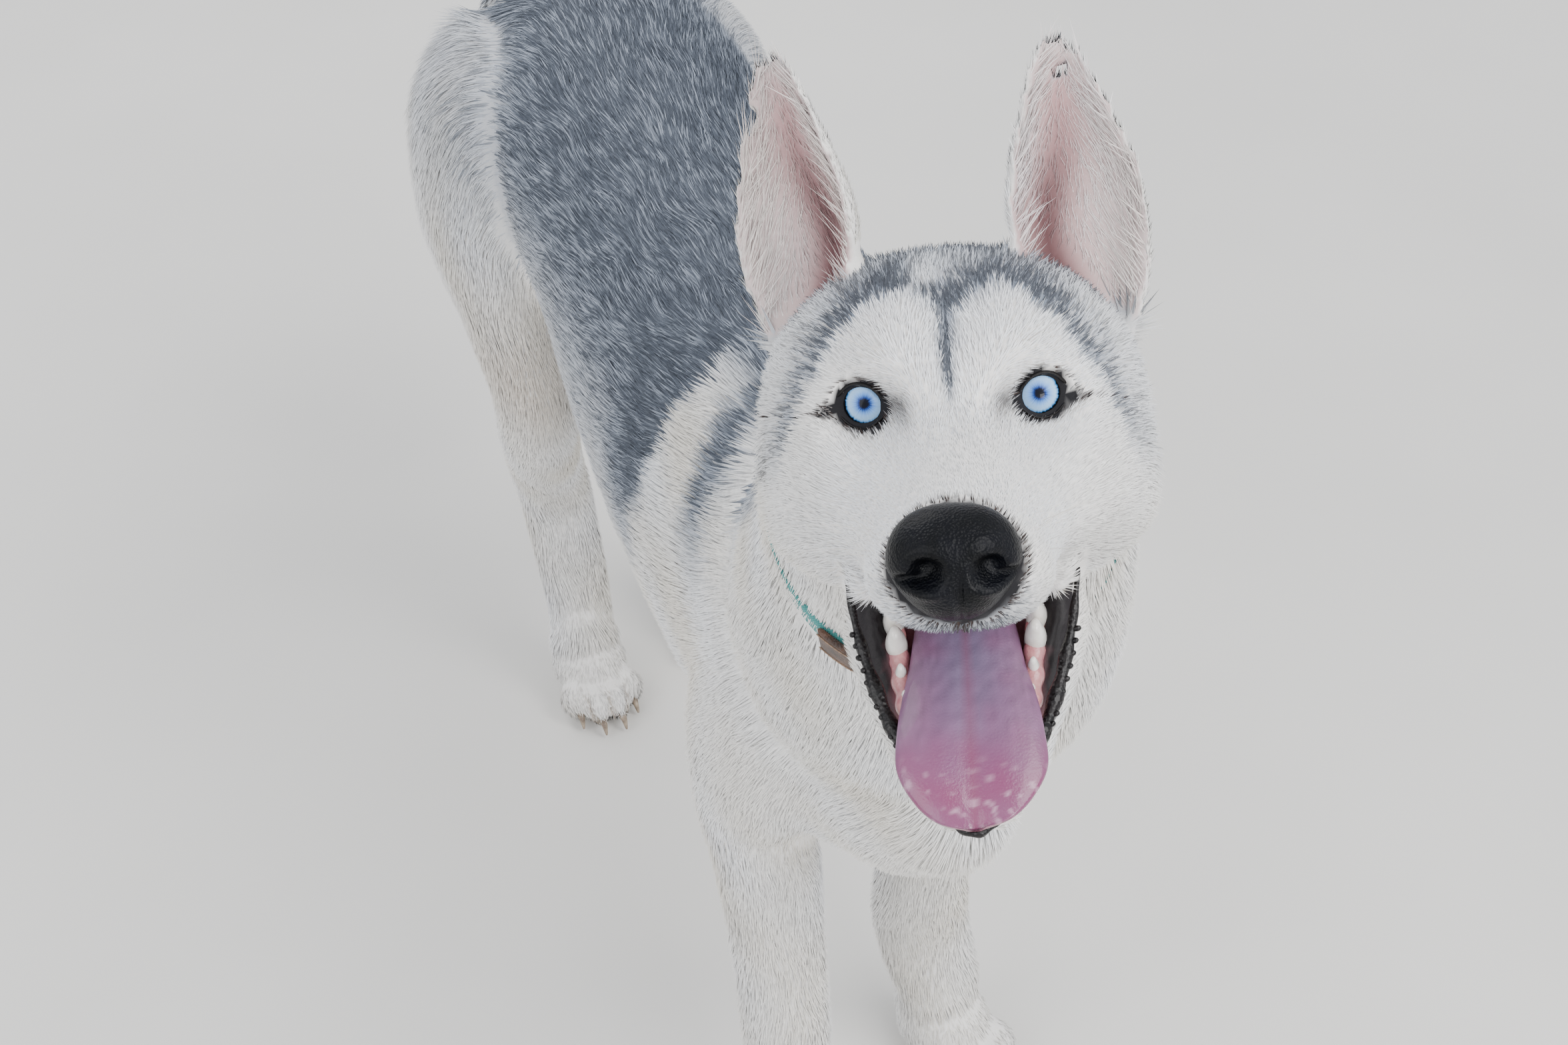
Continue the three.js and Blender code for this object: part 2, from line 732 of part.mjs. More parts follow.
// An ear: its back is a half oval, and its cup the same less the wall
function ear(half) {
  const side = HALVES[half];
  const arc = 7;
  const turn = new THREE.Matrix4()
    .makeRotationFromEuler(
      new THREE.Euler(deg(-EAR_NOD), side * deg(EAR_LEAN[half]), side * deg(EAR_TURN[half]), "YXZ"),
    )
    .setPosition(...inHead(side * EAR_OUT[half], ...EAR_AT).toArray());
  const rings = [];
  for (const [up, wide, deep, wall, lean] of EAR) {
    const ring = [];
    for (let k = 0; k <= arc; k++) {
      const a = (Math.PI * k) / arc;
      ring.push(v3(lean + wide * Math.cos(a), deep * Math.sin(a) ** 0.8, up));
    }
    for (let k = arc; k >= 0; k--) {
      const a = (Math.PI * k) / arc;
      const [w, d] = [Math.max(0.5, wide - wall * 0.6), Math.max(0.3, deep - wall)];
      ring.push(v3(lean + w * Math.cos(a), d * Math.sin(a) ** 0.8 - wall * 0.35, up));
    }
    rings.push(ring.map((p) => v3(side * p.x, p.y, p.z).applyMatrix4(turn)));
  }
  return loft(rings);
}

// Toes of a paw: sideways, forward and half length
const TOES = [
  [-17.5, 16, 15],
  [-6.4, 25, 17],
  [6.4, 25, 17],
  [17.5, 16, 15],
];

// A paw on the floor: the foot's mass, four toes and four claws, cut flat underneath
function paw(at, turn, size) {
  const pieces = [sphere(1, [0, 6, 22], [25.5, 28.5, 23.3], 9, 5)];
  for (const [out, ahead, long] of TOES) {
    pieces.push(sphere(1, [out, -ahead, 13], [9.6, long, 14], 6, 4));
    const tip = -ahead - long;
    const claw = [v3(out, tip + 7, 8), v3(out * 1.02, tip, 7), v3(out * 1.04, tip - 3, 2.4)];
    pieces.push(horn(claw, [3, 2.3, 0.7], 3));
  }
  const matrix = new THREE.Matrix4()
    .makeRotationZ(deg(turn))
    .scale(v3(size, size, size))
    .setPosition(...at);
  return transformed(union(pieces), matrix).subtract(box([400, 400, 100], [at[0], at[1], -50]));
}

// A point of the collar: angle round the neck, height over the coat's tips, place across the band
function collarPoint(turn, grow, across) {
  const t = COLLAR_ROW;
  const [x, y, z, wide, deep] = along(NECK, t);
  const run = v3(...along(NECK, t + 0.05)).sub(v3(...along(NECK, t - 0.05))).normalize();
  const side = v3(1, 0, 0).addScaledVector(run, -run.x).normalize();
  const front = v3(0, 0, 0).crossVectors(run, side);
  const [c, s] = oval(turn, 0.94);
  const p = v3(x, y, z)
    .addScaledVector(side, c * (wide + grow))
    .addScaledVector(front, s * (deep + grow));
  const drop = (p.y - y) * Math.sin(deg(COLLAR_TILT));
  return p.addScaledVector(run, across + drop);
}

function collar(grow = 0) {
  const half = COLLAR_WIDTH / 2 + grow;
  const sides = 32;
  const ring = (height, across) =>
    Array.from({ length: sides }, (_, k) => collarPoint((2 * Math.PI * k) / sides, height, across));
  const rings = [
    ring(COLLAR_INNER - grow, -half),
    ring(COLLAR_OUTER + grow, -half),
    ring(COLLAR_OUTER + grow, half),
    ring(COLLAR_INNER - grow, half),
  ];
  const faces = [];
  for (let r = 0; r < 4; r++)
    for (let k = 0; k < sides; k++) {
      const [a, b] = [r * sides + k, r * sides + ((k + 1) % sides)];
      const [c, d] = [a, b].map((v) => (v + sides) % (4 * sides));
      faces.push(a, b, d, a, d, c);
    }
  return bodyOf(rings.flat(), faces);
}

// The leather keeper: a short strap laid over the band, a little wider than it
function keeper(grow = 0) {
  const half = COLLAR_WIDTH / 2 + 2 + grow;
  const steps = 6;
  const [inner, outer] = [COLLAR_OUTER + GAP - grow, COLLAR_OUTER + KEEPER_THICK + grow];
  const rings = [];
  for (let i = 0; i <= steps; i++) {
    const turn = deg(KEEPER_FROM + (KEEPER_SPAN * i) / steps);
    rings.push([
      collarPoint(turn, inner, -half),
      collarPoint(turn, outer, -half),
      collarPoint(turn, outer, half),
      collarPoint(turn, inner, half),
    ]);
  }
  return loft(rings);
}

const material = (color, roughness = 0.85, metalness = 0) =>
  new THREE.MeshStandardMaterial({ color, roughness, metalness });

const dog = new THREE.Group();
dog.position.set(...ORIGIN_SHIFT);

// Adds a solid as a named mesh, keeping only its largest closed surface.
function put(name, solid, color, roughness, metalness) {
  const whole = solid.decompose().sort((a, b) => b.volume() - a.volume())[0];
  const m = whole.getMesh();
  const geometry = new THREE.BufferGeometry()
    .setAttribute("position", new THREE.BufferAttribute(m.vertProperties, 3))
    .setIndex(new THREE.BufferAttribute(m.triVerts, 1));
  geometry.computeVertexNormals();
  const mesh = new THREE.Mesh(geometry, material(color, roughness, metalness));
  mesh.name = name;
  dog.add(mesh);
}

const torsoCut = torso(GAP);
const headCut = inBody(head(GAP));

// Head, with sockets, lids, upper teeth and the hollow of the mouth
let skull = head().subtract(limb(PALATE.map(([f, u, w, h]) => [0, -f, u, w, h]), 10, 1));
skull = skull.add(upperTeeth());
for (const side of Object.values(HALVES)) skull = skull.add(lid(side)).subtract(eye(side, GAP));
skull = skull.subtract(nose(GAP));
skull = union([skull, ...cheeks(-1), ...cheeks(1)]);
put("head", inBody(skull), WHITE);
put("nose", inBody(nose().subtract(nostrils())), BLACK, 0.35);
for (const [half, side] of Object.entries(HALVES)) {
  put(`eye_${half}`, inBody(eye(side)), BLUE, 0.1);
  put(`ear_${half}`, inBody(ear(half)).subtract(headCut), WHITE);
}

// Lower jaw with its lip and teeth, and the tongue that lies in it
const jaw = jawLoft(JAW, 14, 2).subtract(jawLoft(JAW_HOLLOW, 12, 1)).add(lip()).add(lowerTeeth());
put("lower_jaw", inBody(jaw.subtract(tongue(GAP))).subtract(headCut), WHITE);
put("tongue", inBody(tongue()).subtract(headCut), PINK, 0.4);

// Coat of the chest, neck, cheeks and tail; what lies against it is cut clear of a thicker copy
const chestLocks = (grow = 0) =>
  locksRound(torsoRows, CHEST_LOCKS, {
    seed: 23,
    toward: 0.25,
    fall: 1,
    dome: CHEST_DOME,
    grow,
    cover: (root) => root.z < CHEST_TOP,
  });
const neckLocks = (grow = 0) =>
  locksRound(coreOf(NECK, -COAT_CORE), NECK_LOCKS, { seed: 11, toward: -1, grow });
const jawCut = inBody(jawLoft(JAW, 16, 2, GAP));
const cheekCut = inBody(union([...cheeks(-1, LOCK_GAP), ...cheeks(1, LOCK_GAP)]));
const chestCut = union(chestLocks(LOCK_GAP));
const neckCut = union([neck(GAP - COAT_CORE), ...neckLocks(LOCK_GAP)]);
const faceCut = union([headCut, jawCut, cheekCut]);

put("torso", union([torso(), ...chestLocks()]), GREY);
const ruff = union([neck(-COAT_CORE), ...neckLocks()]);
const neckBounds = [torsoCut, chestCut, faceCut, collar(GAP), keeper(GAP)];
put("neck", neckBounds.reduce((body, cut) => body.subtract(cut), ruff), WHITE);
put("collar", collar().subtract(faceCut), TEAL, 0.6);
put("collar_keeper", keeper().subtract(faceCut), LEATHER, 0.6);
const brush = locksRound(tailCore, TAIL_LOCKS, { seed: 5, toward: 1 });
put("tail", union([limb(tailCore, 8, 1), ...brush]).subtract(torsoCut), GREY);

const HIND_LEFT = HIND_RIGHT.map(([x, y, z, w, d], i) => [
  -x - HIP_SWAY * Math.max(0, 1 - i / 6),
  y + (Math.max(0, i - 3) * HIND_LEFT_BACK) / (HIND_RIGHT.length - 4),
  z,
  w,
  d,
]);
const LEGS = [
  ["fore", "right", FORE_RIGHT, [-55, -34, 0], 4, 1.08],
  ["fore", "left", FORE_LEFT, [65, 46, 0], 16, 1.14],
  ["hind", "right", HIND_RIGHT, [-48, 424, 0], 2, 1.08],
  ["hind", "left", HIND_LEFT, [48, 442, 0], -2, 1.08],
];
for (const [end, half, rows, pawAt, turn, size] of LEGS) {
  const foot = paw(pawAt, turn, size);
  put(`${end}_paw_${half}`, foot, WHITE);
  const footCut = foot.add(paw(pawAt, turn, size * 1.012));
  const flesh = union([limb(rows, 10, 2), ...(end === "hind" ? breeches(rows, half) : [])]);
  const bounds = [torsoCut, chestCut, neckCut, footCut];
  const leg = bounds.reduce((body, cut) => body.subtract(cut), flesh);
  put(`${end}_leg_${half}`, leg, WHITE);
}

export default dog;
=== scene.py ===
"""A life-size Siberian husky that looks up with its mouth open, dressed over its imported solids.

The dog is drawn in millimetres in its own frame, where it faces -Y, its left side is +X and the floor
is z = 0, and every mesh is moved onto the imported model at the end. Its flesh is one remeshed skin, its
coat is solid tufts that follow the lie of the hair, and both carry the same markings.
"""

import logging
import math
from dataclasses import dataclass
from enum import Enum
from typing import Callable, Sequence

import bpy
import numpy as np
from bpy.types import Material, Mesh, Node, NodeSocket, NodeTree, Object
from mathutils import Matrix, Vector
from mathutils.kdtree import KDTree

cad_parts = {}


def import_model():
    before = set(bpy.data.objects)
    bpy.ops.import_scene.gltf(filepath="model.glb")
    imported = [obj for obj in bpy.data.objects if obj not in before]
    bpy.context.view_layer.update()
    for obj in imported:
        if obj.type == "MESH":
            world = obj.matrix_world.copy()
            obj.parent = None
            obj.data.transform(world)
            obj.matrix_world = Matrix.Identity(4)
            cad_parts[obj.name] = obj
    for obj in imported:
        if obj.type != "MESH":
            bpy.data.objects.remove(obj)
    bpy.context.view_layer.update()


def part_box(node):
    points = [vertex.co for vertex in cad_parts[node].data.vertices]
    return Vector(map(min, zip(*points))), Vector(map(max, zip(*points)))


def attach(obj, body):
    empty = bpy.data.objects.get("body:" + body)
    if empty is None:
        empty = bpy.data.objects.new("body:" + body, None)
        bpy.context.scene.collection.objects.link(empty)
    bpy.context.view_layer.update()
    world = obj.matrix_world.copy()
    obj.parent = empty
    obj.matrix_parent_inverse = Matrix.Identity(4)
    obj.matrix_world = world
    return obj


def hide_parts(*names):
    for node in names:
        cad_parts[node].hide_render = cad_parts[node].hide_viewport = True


logging.basicConfig(level=logging.INFO, format="%(message)s")
LOG = logging.getLogger("husky")

Array = np.ndarray
MILLI = 0.001

# Head: its place, and how it turns, points up and rolls, in degrees
HEAD_AT = np.array([-39.0, -207.0, 721.0])
HEAD_YAW, HEAD_PITCH, HEAD_ROLL = 22.0, 27.5, 3.5
EYE_AT = np.array([30.0, -9.5, 0.0])
EYE_OUTWARD = 18.0
EYE_RADIUS = 11.0
LID_HALF_WIDTH, LID_HALF_HEIGHT = 9.1, 8.4
JAW_HINGE = (-40.0, -50.0)
JAW_DROP = math.radians(42.0)
NOSE_AT = np.array([-1.5, 94.0, -35.0])
NOSE_SIZE = np.array([22.5, 17.0, 19.5])
COLLAR_ROW, COLLAR_TILT = 2.85, math.radians(10.0)
# Where the hair lies short over the leather keeper: its angle round the neck and its spread
KEEPER_TURN, KEEPER_SPREAD = 3.86, 0.36
# The length of the collar that the weave's map is drawn on, in millimetres
COLLAR_GIRTH = 500.0

# Camera, in the dog's own frame: place, aim in degrees, and focal length over the picture's width
CAMERA_AT = np.array([-329.0, -918.0, 1335.0])
CAMERA_DOWN, CAMERA_TURN, CAMERA_ROLL = 41.1, -17.56, -2.8
FOCAL_WIDTHS = 4114.0 / 2352.0
SENSOR = 36.0

# The share of the coat's depth that lies over the modelled skin, the rest being dense underfur
SKIN_SHARE = 0.45
# Limbs: centre x, y, z, half width, half depth, and the depth of the coat over the skin
TORSO = [
    [0, -142, 410, 10, 14, 4],
    [0, -130, 410, 30, 42, 10],
    [0, -106, 411, 43, 65, 14],
    [0, -70, 410, 58, 98, 15],
    [0, -15, 412, 74, 138, 14],
    [0, 60, 415, 85, 151, 13],
    [0, 140, 417, 89, 140, 12],
    [0, 220, 428, 88, 124, 12],
    [0, 300, 447, 84, 106, 12],
    [0, 370, 459, 84, 96, 12],
    [0, 430, 463, 84, 86, 13],
    [0, 478, 463, 74, 68, 14],
    [0, 508, 466, 50, 46, 12],
    [0, 520, 468, 22, 22, 8],
]
NECK = [
    [7, -28, 440, 88, 96, 20],
    [9, -62, 490, 94, 102, 22],
    [5, -92, 545, 90, 89, 22],
    [-7, -120, 598, 80, 79, 19],
    [-16, -143, 648, 73, 70, 15],
    [-24, -160, 690, 56, 52, 10],
]
TAIL = [
    [0, 492, 505, 24, 24, 8],
    [0, 528, 492, 30, 30, 14],
    [2, 568, 455, 37, 36, 23],
    [5, 598, 402, 42, 41, 29],
    [8, 618, 342, 44, 42, 32],
    [10, 634, 282, 39, 37, 29],
    [10, 652, 228, 27, 25, 19],
    [9, 672, 190, 11, 10, 7],
]
FORE_RIGHT = [
    [-38, -10, 440, 24, 40, 8],
    [-46, -6, 405, 34, 54, 9],
    [-54, 10, 352, 35, 56, 8],
    [-55, 22, 302, 33, 45, 7],
    [-53, 12, 252, 29, 34, 5],
    [-53, 0, 190, 26, 27, 4],
    [-54, -8, 130, 25, 25, 3.6],
    [-55, -12, 92, 24, 22, 3.4],
    [-55, -18, 58, 22, 20, 3.2],
    [-55, -26, 36, 19, 17, 3],
]
FORE_LEFT = [
    [38, 0, 440, 24, 40, 8],
    [46, 8, 405, 34, 54, 9],
    [54, 28, 352, 35, 56, 8],
    [57, 48, 302, 33, 45, 7],
    [57, 54, 252, 28, 34, 5],
    [57, 60, 190, 25, 27, 4],
    [54, 66, 130, 29, 25, 3.6],
    [56, 66, 94, 29, 22, 3.4],
    [61, 60, 62, 27, 20, 3.2],
    [64, 54, 40, 22, 17, 3],
]
HIND_RIGHT = [
    [-46, 440, 512, 34, 42, 12],
    [-62, 436, 474, 51, 68, 12],
    [-74, 424, 412, 49, 80, 12],
    [-75, 404, 352, 35, 64, 10],
    [-72, 394, 300, 27, 46, 7],
    [-67, 414, 248, 26, 36, 5],
    [-59, 446, 196, 25, 28, 4],
    [-51, 466, 150, 25, 25, 3.6],
    [-48, 460, 108, 24, 21, 3.4],
    [-47, 448, 70, 23, 19, 3.2],
    [-48, 440, 46, 21, 18, 3],
]
HIP_SWAY, HIND_LEFT_BACK = 16.0, 18.0
# Paws: place, turn in degrees and size
PAWS = {
    "fore_right": ((-55.0, -34.0), 4.0, 1.08),
    "fore_left": ((65.0, 46.0), 16.0, 1.14),
    "hind_right": ((-48.0, 424.0), 2.0, 1.08),
    "hind_left": ((48.0, 442.0), -2.0, 1.08),
}
TOES = [(-17.5, 16.0, 15.0), (-6.4, 25.0, 17.0), (6.4, 25.0, 17.0), (17.5, 16.0, 15.0)]

# Head, in its own frame: forward, top, bottom, half width, and how far its top narrows
HEAD = [
    [-104, 10, -14, 14, 0],
    [-98, 26, -36, 38, 0],
    [-82, 42, -62, 62, 0],
    [-58, 49, -78, 73, 0],
    [-34, 47, -85, 76, 0],
    [-14, 39, -83, 67, 0.06],
    [4, 26, -70, 54, 0.16],
    [20, 10, -66, 42, 0.34],
    [36, 0, -67, 38, 0.38],
    [54, -6, -69, 34, 0.34],
    [72, -11, -67, 31, 0.28],
    [88, -15, -62, 27, 0.16],
    [98, -22, -56, 18, 0],
    [102, -30, -48, 9, 0],
]
# Soft swellings of the face: place, radius and push, each sideways, forward, up
FACE = [
    ((24, 2, 21), 14, (0, 4, 3)),
    ((0, -4, 26), 12, (0, -2, -3)),
    ((0, 18, 4), 15, (0, 0, -4)),
    ((52, 0, -34), 20, (3, 3, 0)),
    ((62, -30, -52), 26, (6, 0, -3)),
    ((25, 74, -48), 16, (3, 2, 0)),
    ((40, 14, -52), 18, (5, 2, 0)),
]
SOCKET_OUT, SOCKET_UP, SOCKET_WIDE, SOCKET_HIGH = 31.0, -1.0, 16.0, 14.0
SOCKET_AHEAD, SOCKET_SLOPE = -3.0, -0.32
# How far the sockets' plane lies in front of the middle of the eyeball
SOCKET_PLANE = 6.7
# Lower jaw: distance from the hinge, top and bottom about the hinge line, half width
JAW = [
    [8, 8, -26, 26],
    [16, 14, -34, 40],
    [42, 18, -38, 46],
    [63, 9, -36, 42],
    [88, 0, -30, 33],
    [111, -1, -24, 26],
    [127, -1, -16, 17],
    [134, -4, -10, 7],
]
JAW_COAT = 1.6
JAW_HOLLOW = [
    [38, 60, -4, 20],
    [46, 60, -12, 33],
    [63, 55, -14, 30],
    [88, 50, -13, 22],
    [111, 45, -11, 16],
    [122, 40, -5, 9],
]
TONGUE = [
    [34, 0, 10, 3],
    [40, 0, 16, 5],
    [55, 2, 19, 5.5],
    [70, 5, 21, 5.5],
    [85, 8, 24, 5],
    [100, 9.5, 26, 4.6],
    [115, 9, 26.5, 4.2],
    [127, 7, 20.5, 3.6],
    [134, 5, 13, 2.8],
    [137, 4, 4, 1.6],
]
PALATE = [
    [0, 18, -84, 10, 14, 0],
    [0, 10, -84, 24, 24, 0],
    [0, -20, -84, 27, 27, 0],
    [0, -50, -85, 24, 27, 0],
    [0, -74, -84, 20, 26, 0],
    [0, -85, -84, 12, 20, 0],
]
LIP = [(42, 3, -63), (38, 12, -84), (30, 26, -107), (20, 41, -123), (10, 54, -134), (0, 59, -139.5)]
# The fold of the upper lip that closes each corner of the mouth
CORNER, CORNER_SIZE = np.array([33.5, -8.0, -63.0]), np.array([7.5, 8.0, 8.0])
LOWER_TEETH = [(49, 12, 6.2), (58, 13, 6.4), (70.5, 8.5, 3.9), (80, 6, 3.2)]
UPPER_TEETH = [
    (16, 76, 2, 4),
    (20, 61, 5, 3.2),
    (22, 49, 6, 4),
    (24, 37, 8, 5),
    (25, 26, 6, 4.4),
    (3, 80, 1, 2.4),
    (9, 79, 1, 2.6),
]
PALATE_TOP = -59.0
# Ear: height, half width, depth of the back, thickness, sideways lean
EAR = [
    [-36, 14, 12, 8, 2],
    [-16, 22, 18, 8, 3],
    [4, 27.5, 22, 6.5, 1],
    [22, 28.5, 21, 5.5, 0],
    [40, 25, 17, 4.8, 0],
    [57, 19, 12.5, 4.2, 0],
    [71, 14, 8.5, 3.8, 0],
    [80, 9.6, 6, 3.4, 0],
    [85.5, 4.6, 3.4, 2.4, 0],
]
EAR_AT = (-60.0, 40.0)
EAR_NOD = -4.0


class Half(Enum):
    """The two halves of the dog, with the sign of their sideways axis."""

    RIGHT = -1
    LEFT = 1


EAR_OUT = {Half.RIGHT: 56.0, Half.LEFT: 53.0}
EAR_TURN = {Half.RIGHT: 34.0, Half.LEFT: 16.0}
EAR_LEAN = {Half.RIGHT: 3.0, Half.LEFT: -6.0}


def hind_left_rows() -> list[list[float]]:
    """The left hind leg: the right one mirrored, with the hips swung over and the foot further back.

    Returns:
        The rows of its table.
    """
    rows = []
    last = len(HIND_RIGHT) - 4
    for i, (x, y, z, wide, deep, coat) in enumerate(HIND_RIGHT):
        out = -x - HIP_SWAY * max(0.0, 1 - i / 6)
        rows.append([out, y + max(0, i - 3) * HIND_LEFT_BACK / last, z, wide, deep, coat])
    return rows


def along(rows: Sequence[Sequence[float]], places: Array) -> Array:
    """Values of a table at fractional rows, on a Catmull-Rom spline.

    Args:
        rows: the table.
        places: fractional row numbers.
    Returns:
        One row of values for each place.
    """
    table = np.asarray(rows, float)
    last = len(table) - 1
    t = np.clip(np.asarray(places, float), 0, last)
    i = np.minimum(last - 1, np.floor(t).astype(int))
    f = (t - i)[..., None]
    a, b = table[np.maximum(i - 1, 0)], table[i]
    d, e = table[i + 1], table[np.minimum(i + 2, last)]
    bend = (2 * a - 5 * b + 4 * d - e) * f**2
    return 0.5 * (2 * b + (d - a) * f + bend + (3 * b - 3 * d + e - a) * f**3)


def row_at(rows: Sequence[Sequence[float]], values: Array) -> Array:
    """Fractional rows of a table at which its first column has some values."""
    return np.interp(values, np.array(rows, float)[:, 0], np.arange(len(rows)))


def oval(turns: Array, power: float = 0.9) -> tuple[Array, Array]:
    """Cosine and sine of an oval with slightly squared shoulders."""
    c, s = np.cos(turns), np.sin(turns)
    return np.sign(c) * np.abs(c) ** power, np.sign(s) * np.abs(s) ** power


def circle(count: int) -> Array:
    """Angles spread evenly round a circle."""
    return np.linspace(0, 2 * math.pi, count, endpoint=False)


def unit(vectors: Array) -> Array:
    """Vectors scaled to length one."""
    return vectors / np.maximum(np.linalg.norm(vectors, axis=-1, keepdims=True), 1e-9)


def dot(a: Array, b: Array) -> Array:
    """Dot products, kept as a column."""
    return np.sum(a * b, axis=-1, keepdims=True)


def smooth_step(low: float, high: float, values: Array) -> Array:
    """0 below low, 1 above high, and a smooth rise between them."""
    x = np.clip((values - low) / (high - low), 0, 1)
    return x * x * (3 - 2 * x)


def ripple(points: Array, size: float, seed: int) -> Array:
    """Smooth repeatable noise about 0 with features of one size, from a few crossed waves.

    Args:
        points: points of the dog's frame, in millimetres.
        size: the length of its waves.
        seed: starts its draw.
    Returns:
        A number for each point, mostly from -1 to 1.
    """
    random = np.random.default_rng(seed)
    total = np.zeros(len(points))
    for _ in range(7):
        wave = unit(random.normal(size=3)) * (2 * math.pi / size) * random.uniform(0.6, 1.5)
        total += np.sin(points @ wave + random.uniform(0, 2 * math.pi))
    return total / 7 * 1.9


def head_matrix() -> Matrix:
    """The head's frame: x is the dog's left, y points back, z is up.

    Returns:
        The matrix from the head's frame to the dog's.
    """
    roll = Matrix.Rotation(math.radians(-HEAD_ROLL), 4, "Y")
    pitch = Matrix.Rotation(math.radians(-HEAD_PITCH), 4, "X")
    yaw = Matrix.Rotation(math.radians(-HEAD_YAW), 4, "Z")
    return Matrix.Translation(Vector(HEAD_AT)) @ yaw @ pitch @ roll


HEAD_FRAME = np.array(head_matrix())


def to_body(points: Array) -> Array:
    """Points of the head's frame in the dog's frame."""
    return points @ HEAD_FRAME[:3, :3].T + HEAD_FRAME[:3, 3]


def to_head(points: Array) -> Array:
    """Points of the dog's frame in the head's frame."""
    return (points - HEAD_FRAME[:3, 3]) @ HEAD_FRAME[:3, :3]


def in_head(side: float, forward: float, up: float) -> Array:
    """A point of the head's frame from its sideways, forward and up places."""
    return np.array([side, -forward, up], float)


def on_jaw(run: Array, side: Array, rise: Array) -> Array:
    """Points of the head's frame from a distance along the open jaw, sideways, and above its line.

    Args:
        run: distance from the hinge along the jaw.
        side: distance sideways.
        rise: height above its line.
    Returns:
        The points.
    """
    c, s = math.cos(JAW_DROP), math.sin(JAW_DROP)
    run, side, rise = np.broadcast_arrays(run, side, rise)
    forward = JAW_HINGE[0] + c * run + s * rise
    up = JAW_HINGE[1] - s * run + c * rise
    return np.stack([side, -forward, up], -1).astype(float)


def jaw_place(local: Array) -> tuple[Array, Array]:
    """Distance along the jaw and height above its line, for points of the head's frame.

    Args:
        local: points of the head's frame.
    Returns:
        The two distances.
    """
    c, s = math.cos(JAW_DROP), math.sin(JAW_DROP)
    forward = -local[:, 1] - JAW_HINGE[0]
    up = local[:, 2] - JAW_HINGE[1]
    return c * forward - s * up, s * forward + c * up


@dataclass(frozen=True)
class Shape:
    """A mesh in the dog's frame, in millimetres.

    points: one row for each vertex. faces: triangles or quads, one array of corners for each kind.
    """

    points: Array
    faces: list[Array]

    def moved(self, change: Callable[[Array], Array]) -> "Shape":
        """The same faces over changed points."""
        return Shape(change(self.points), self.faces)


def loft(rings: Array) -> Shape:
    """A closed body through rings of equal length, with a fan over each end.

    Args:
        rings: its sections, one after the other.
    Returns:
        The body, with its faces outward.
    """
    count, sides, _ = rings.shape
    points = np.concatenate([rings.reshape(-1, 3), rings[:1].mean(1), rings[-1:].mean(1)])
    r, k = np.meshgrid(np.arange(count - 1), np.arange(sides), indexing="ij")
    a, b = r * sides + k, r * sides + (k + 1) % sides
    quads = np.stack([a, b, b + sides, a + sides], -1).reshape(-1, 4)
    k = np.arange(sides)
    start, end = count * sides, count * sides + 1
    top = (count - 1) * sides
    first = np.stack([(k + 1) % sides, k, np.full(sides, start)], -1)
    final = np.stack([top + k, top + (k + 1) % sides, np.full(sides, end)], -1)
    shape = Shape(points, [quads, np.concatenate([first, final])])
    return shape if volume(shape) > 0 else Shape(points, [f[:, ::-1] for f in shape.faces])


def volume(shape: Shape) -> float:
    """Signed volume, which is negative where the faces point inwards.

    Args:
        shape: the shape.
    Returns:
        Cubic millimetres.
    """
    total = 0.0
    for faces in shape.faces:
        corners = shape.points[faces]
        for k in range(1, faces.shape[1] - 1):
            total += np.einsum("ij,ij->i", corners[:, 0], np.cross(corners[:, k], corners[:, k + 1])).sum()
    return total / 6


def joined(shapes: Sequence[Shape]) -> Shape:
    """Several shapes as one, each still closed on its own.

    Args:
        shapes: the shapes to join.
    Returns:
        The shape.
    """
    points, triangles, quads = [], [], []
    start = 0
    for shape in shapes:
        points.append(shape.points)
        for faces in shape.faces:
            (triangles if faces.shape[1] == 3 else quads).append(faces + start)
        start += len(shape.points)
    kinds = [np.concatenate(kind) for kind in (quads, triangles) if kind]
    return Shape(np.concatenate(points), kinds)


def directions(tilt: Array, turn: Array) -> Array:
    """Unit vectors at some angles from +z and round it."""
    return np.stack([np.sin(tilt) * np.cos(turn), np.sin(tilt) * np.sin(turn), np.cos(tilt) + 0 * turn], -1)


def ball(centre: Array, size: Sequence[float], sides: int = 32, rows: int = 20) -> Shape:
    """An ellipsoid with its poles along z.

    Args:
        centre: its middle.
        size: half its size along each axis.
        sides: corners of each section.
        rows: how many sections it has.
    Returns:
        The closed body.
    """
    tilt = np.linspace(0.02, math.pi - 0.02, rows)[:, None]
    turn = circle(sides)[None, :]
    return loft(directions(tilt, turn) * np.asarray(size) + centre)


def tube(path: Array, radii: Array, sides: int = 12, flat: float = 1.0, up: Array | None = None) -> Shape:
    """A closed tapered tube along a path; flat scales its thickness along up.

    Args:
        path: points along its middle.
        radii: half its thickness at each point.
        sides: corners of each section.
        flat: its thickness along up as a share of that across.
        up: the way that flat is measured along.
    Returns:
        The closed body.
    """
    run = unit(np.gradient(path, axis=0))
    guide = np.array([0.0, 0.0, 1.0]) if up is None else np.asarray(up, float)
    front = unit(guide - dot(run, guide) * run)
    side = np.cross(run, front)
    turn = circle(sides)
    radii = np.broadcast_to(radii, (len(path),))[:, None, None]
    offset = side[:, None] * np.cos(turn)[None, :, None]
    offset = offset + front[:, None] * np.sin(turn)[None, :, None] * flat
    return loft(path[:, None] + offset * radii)


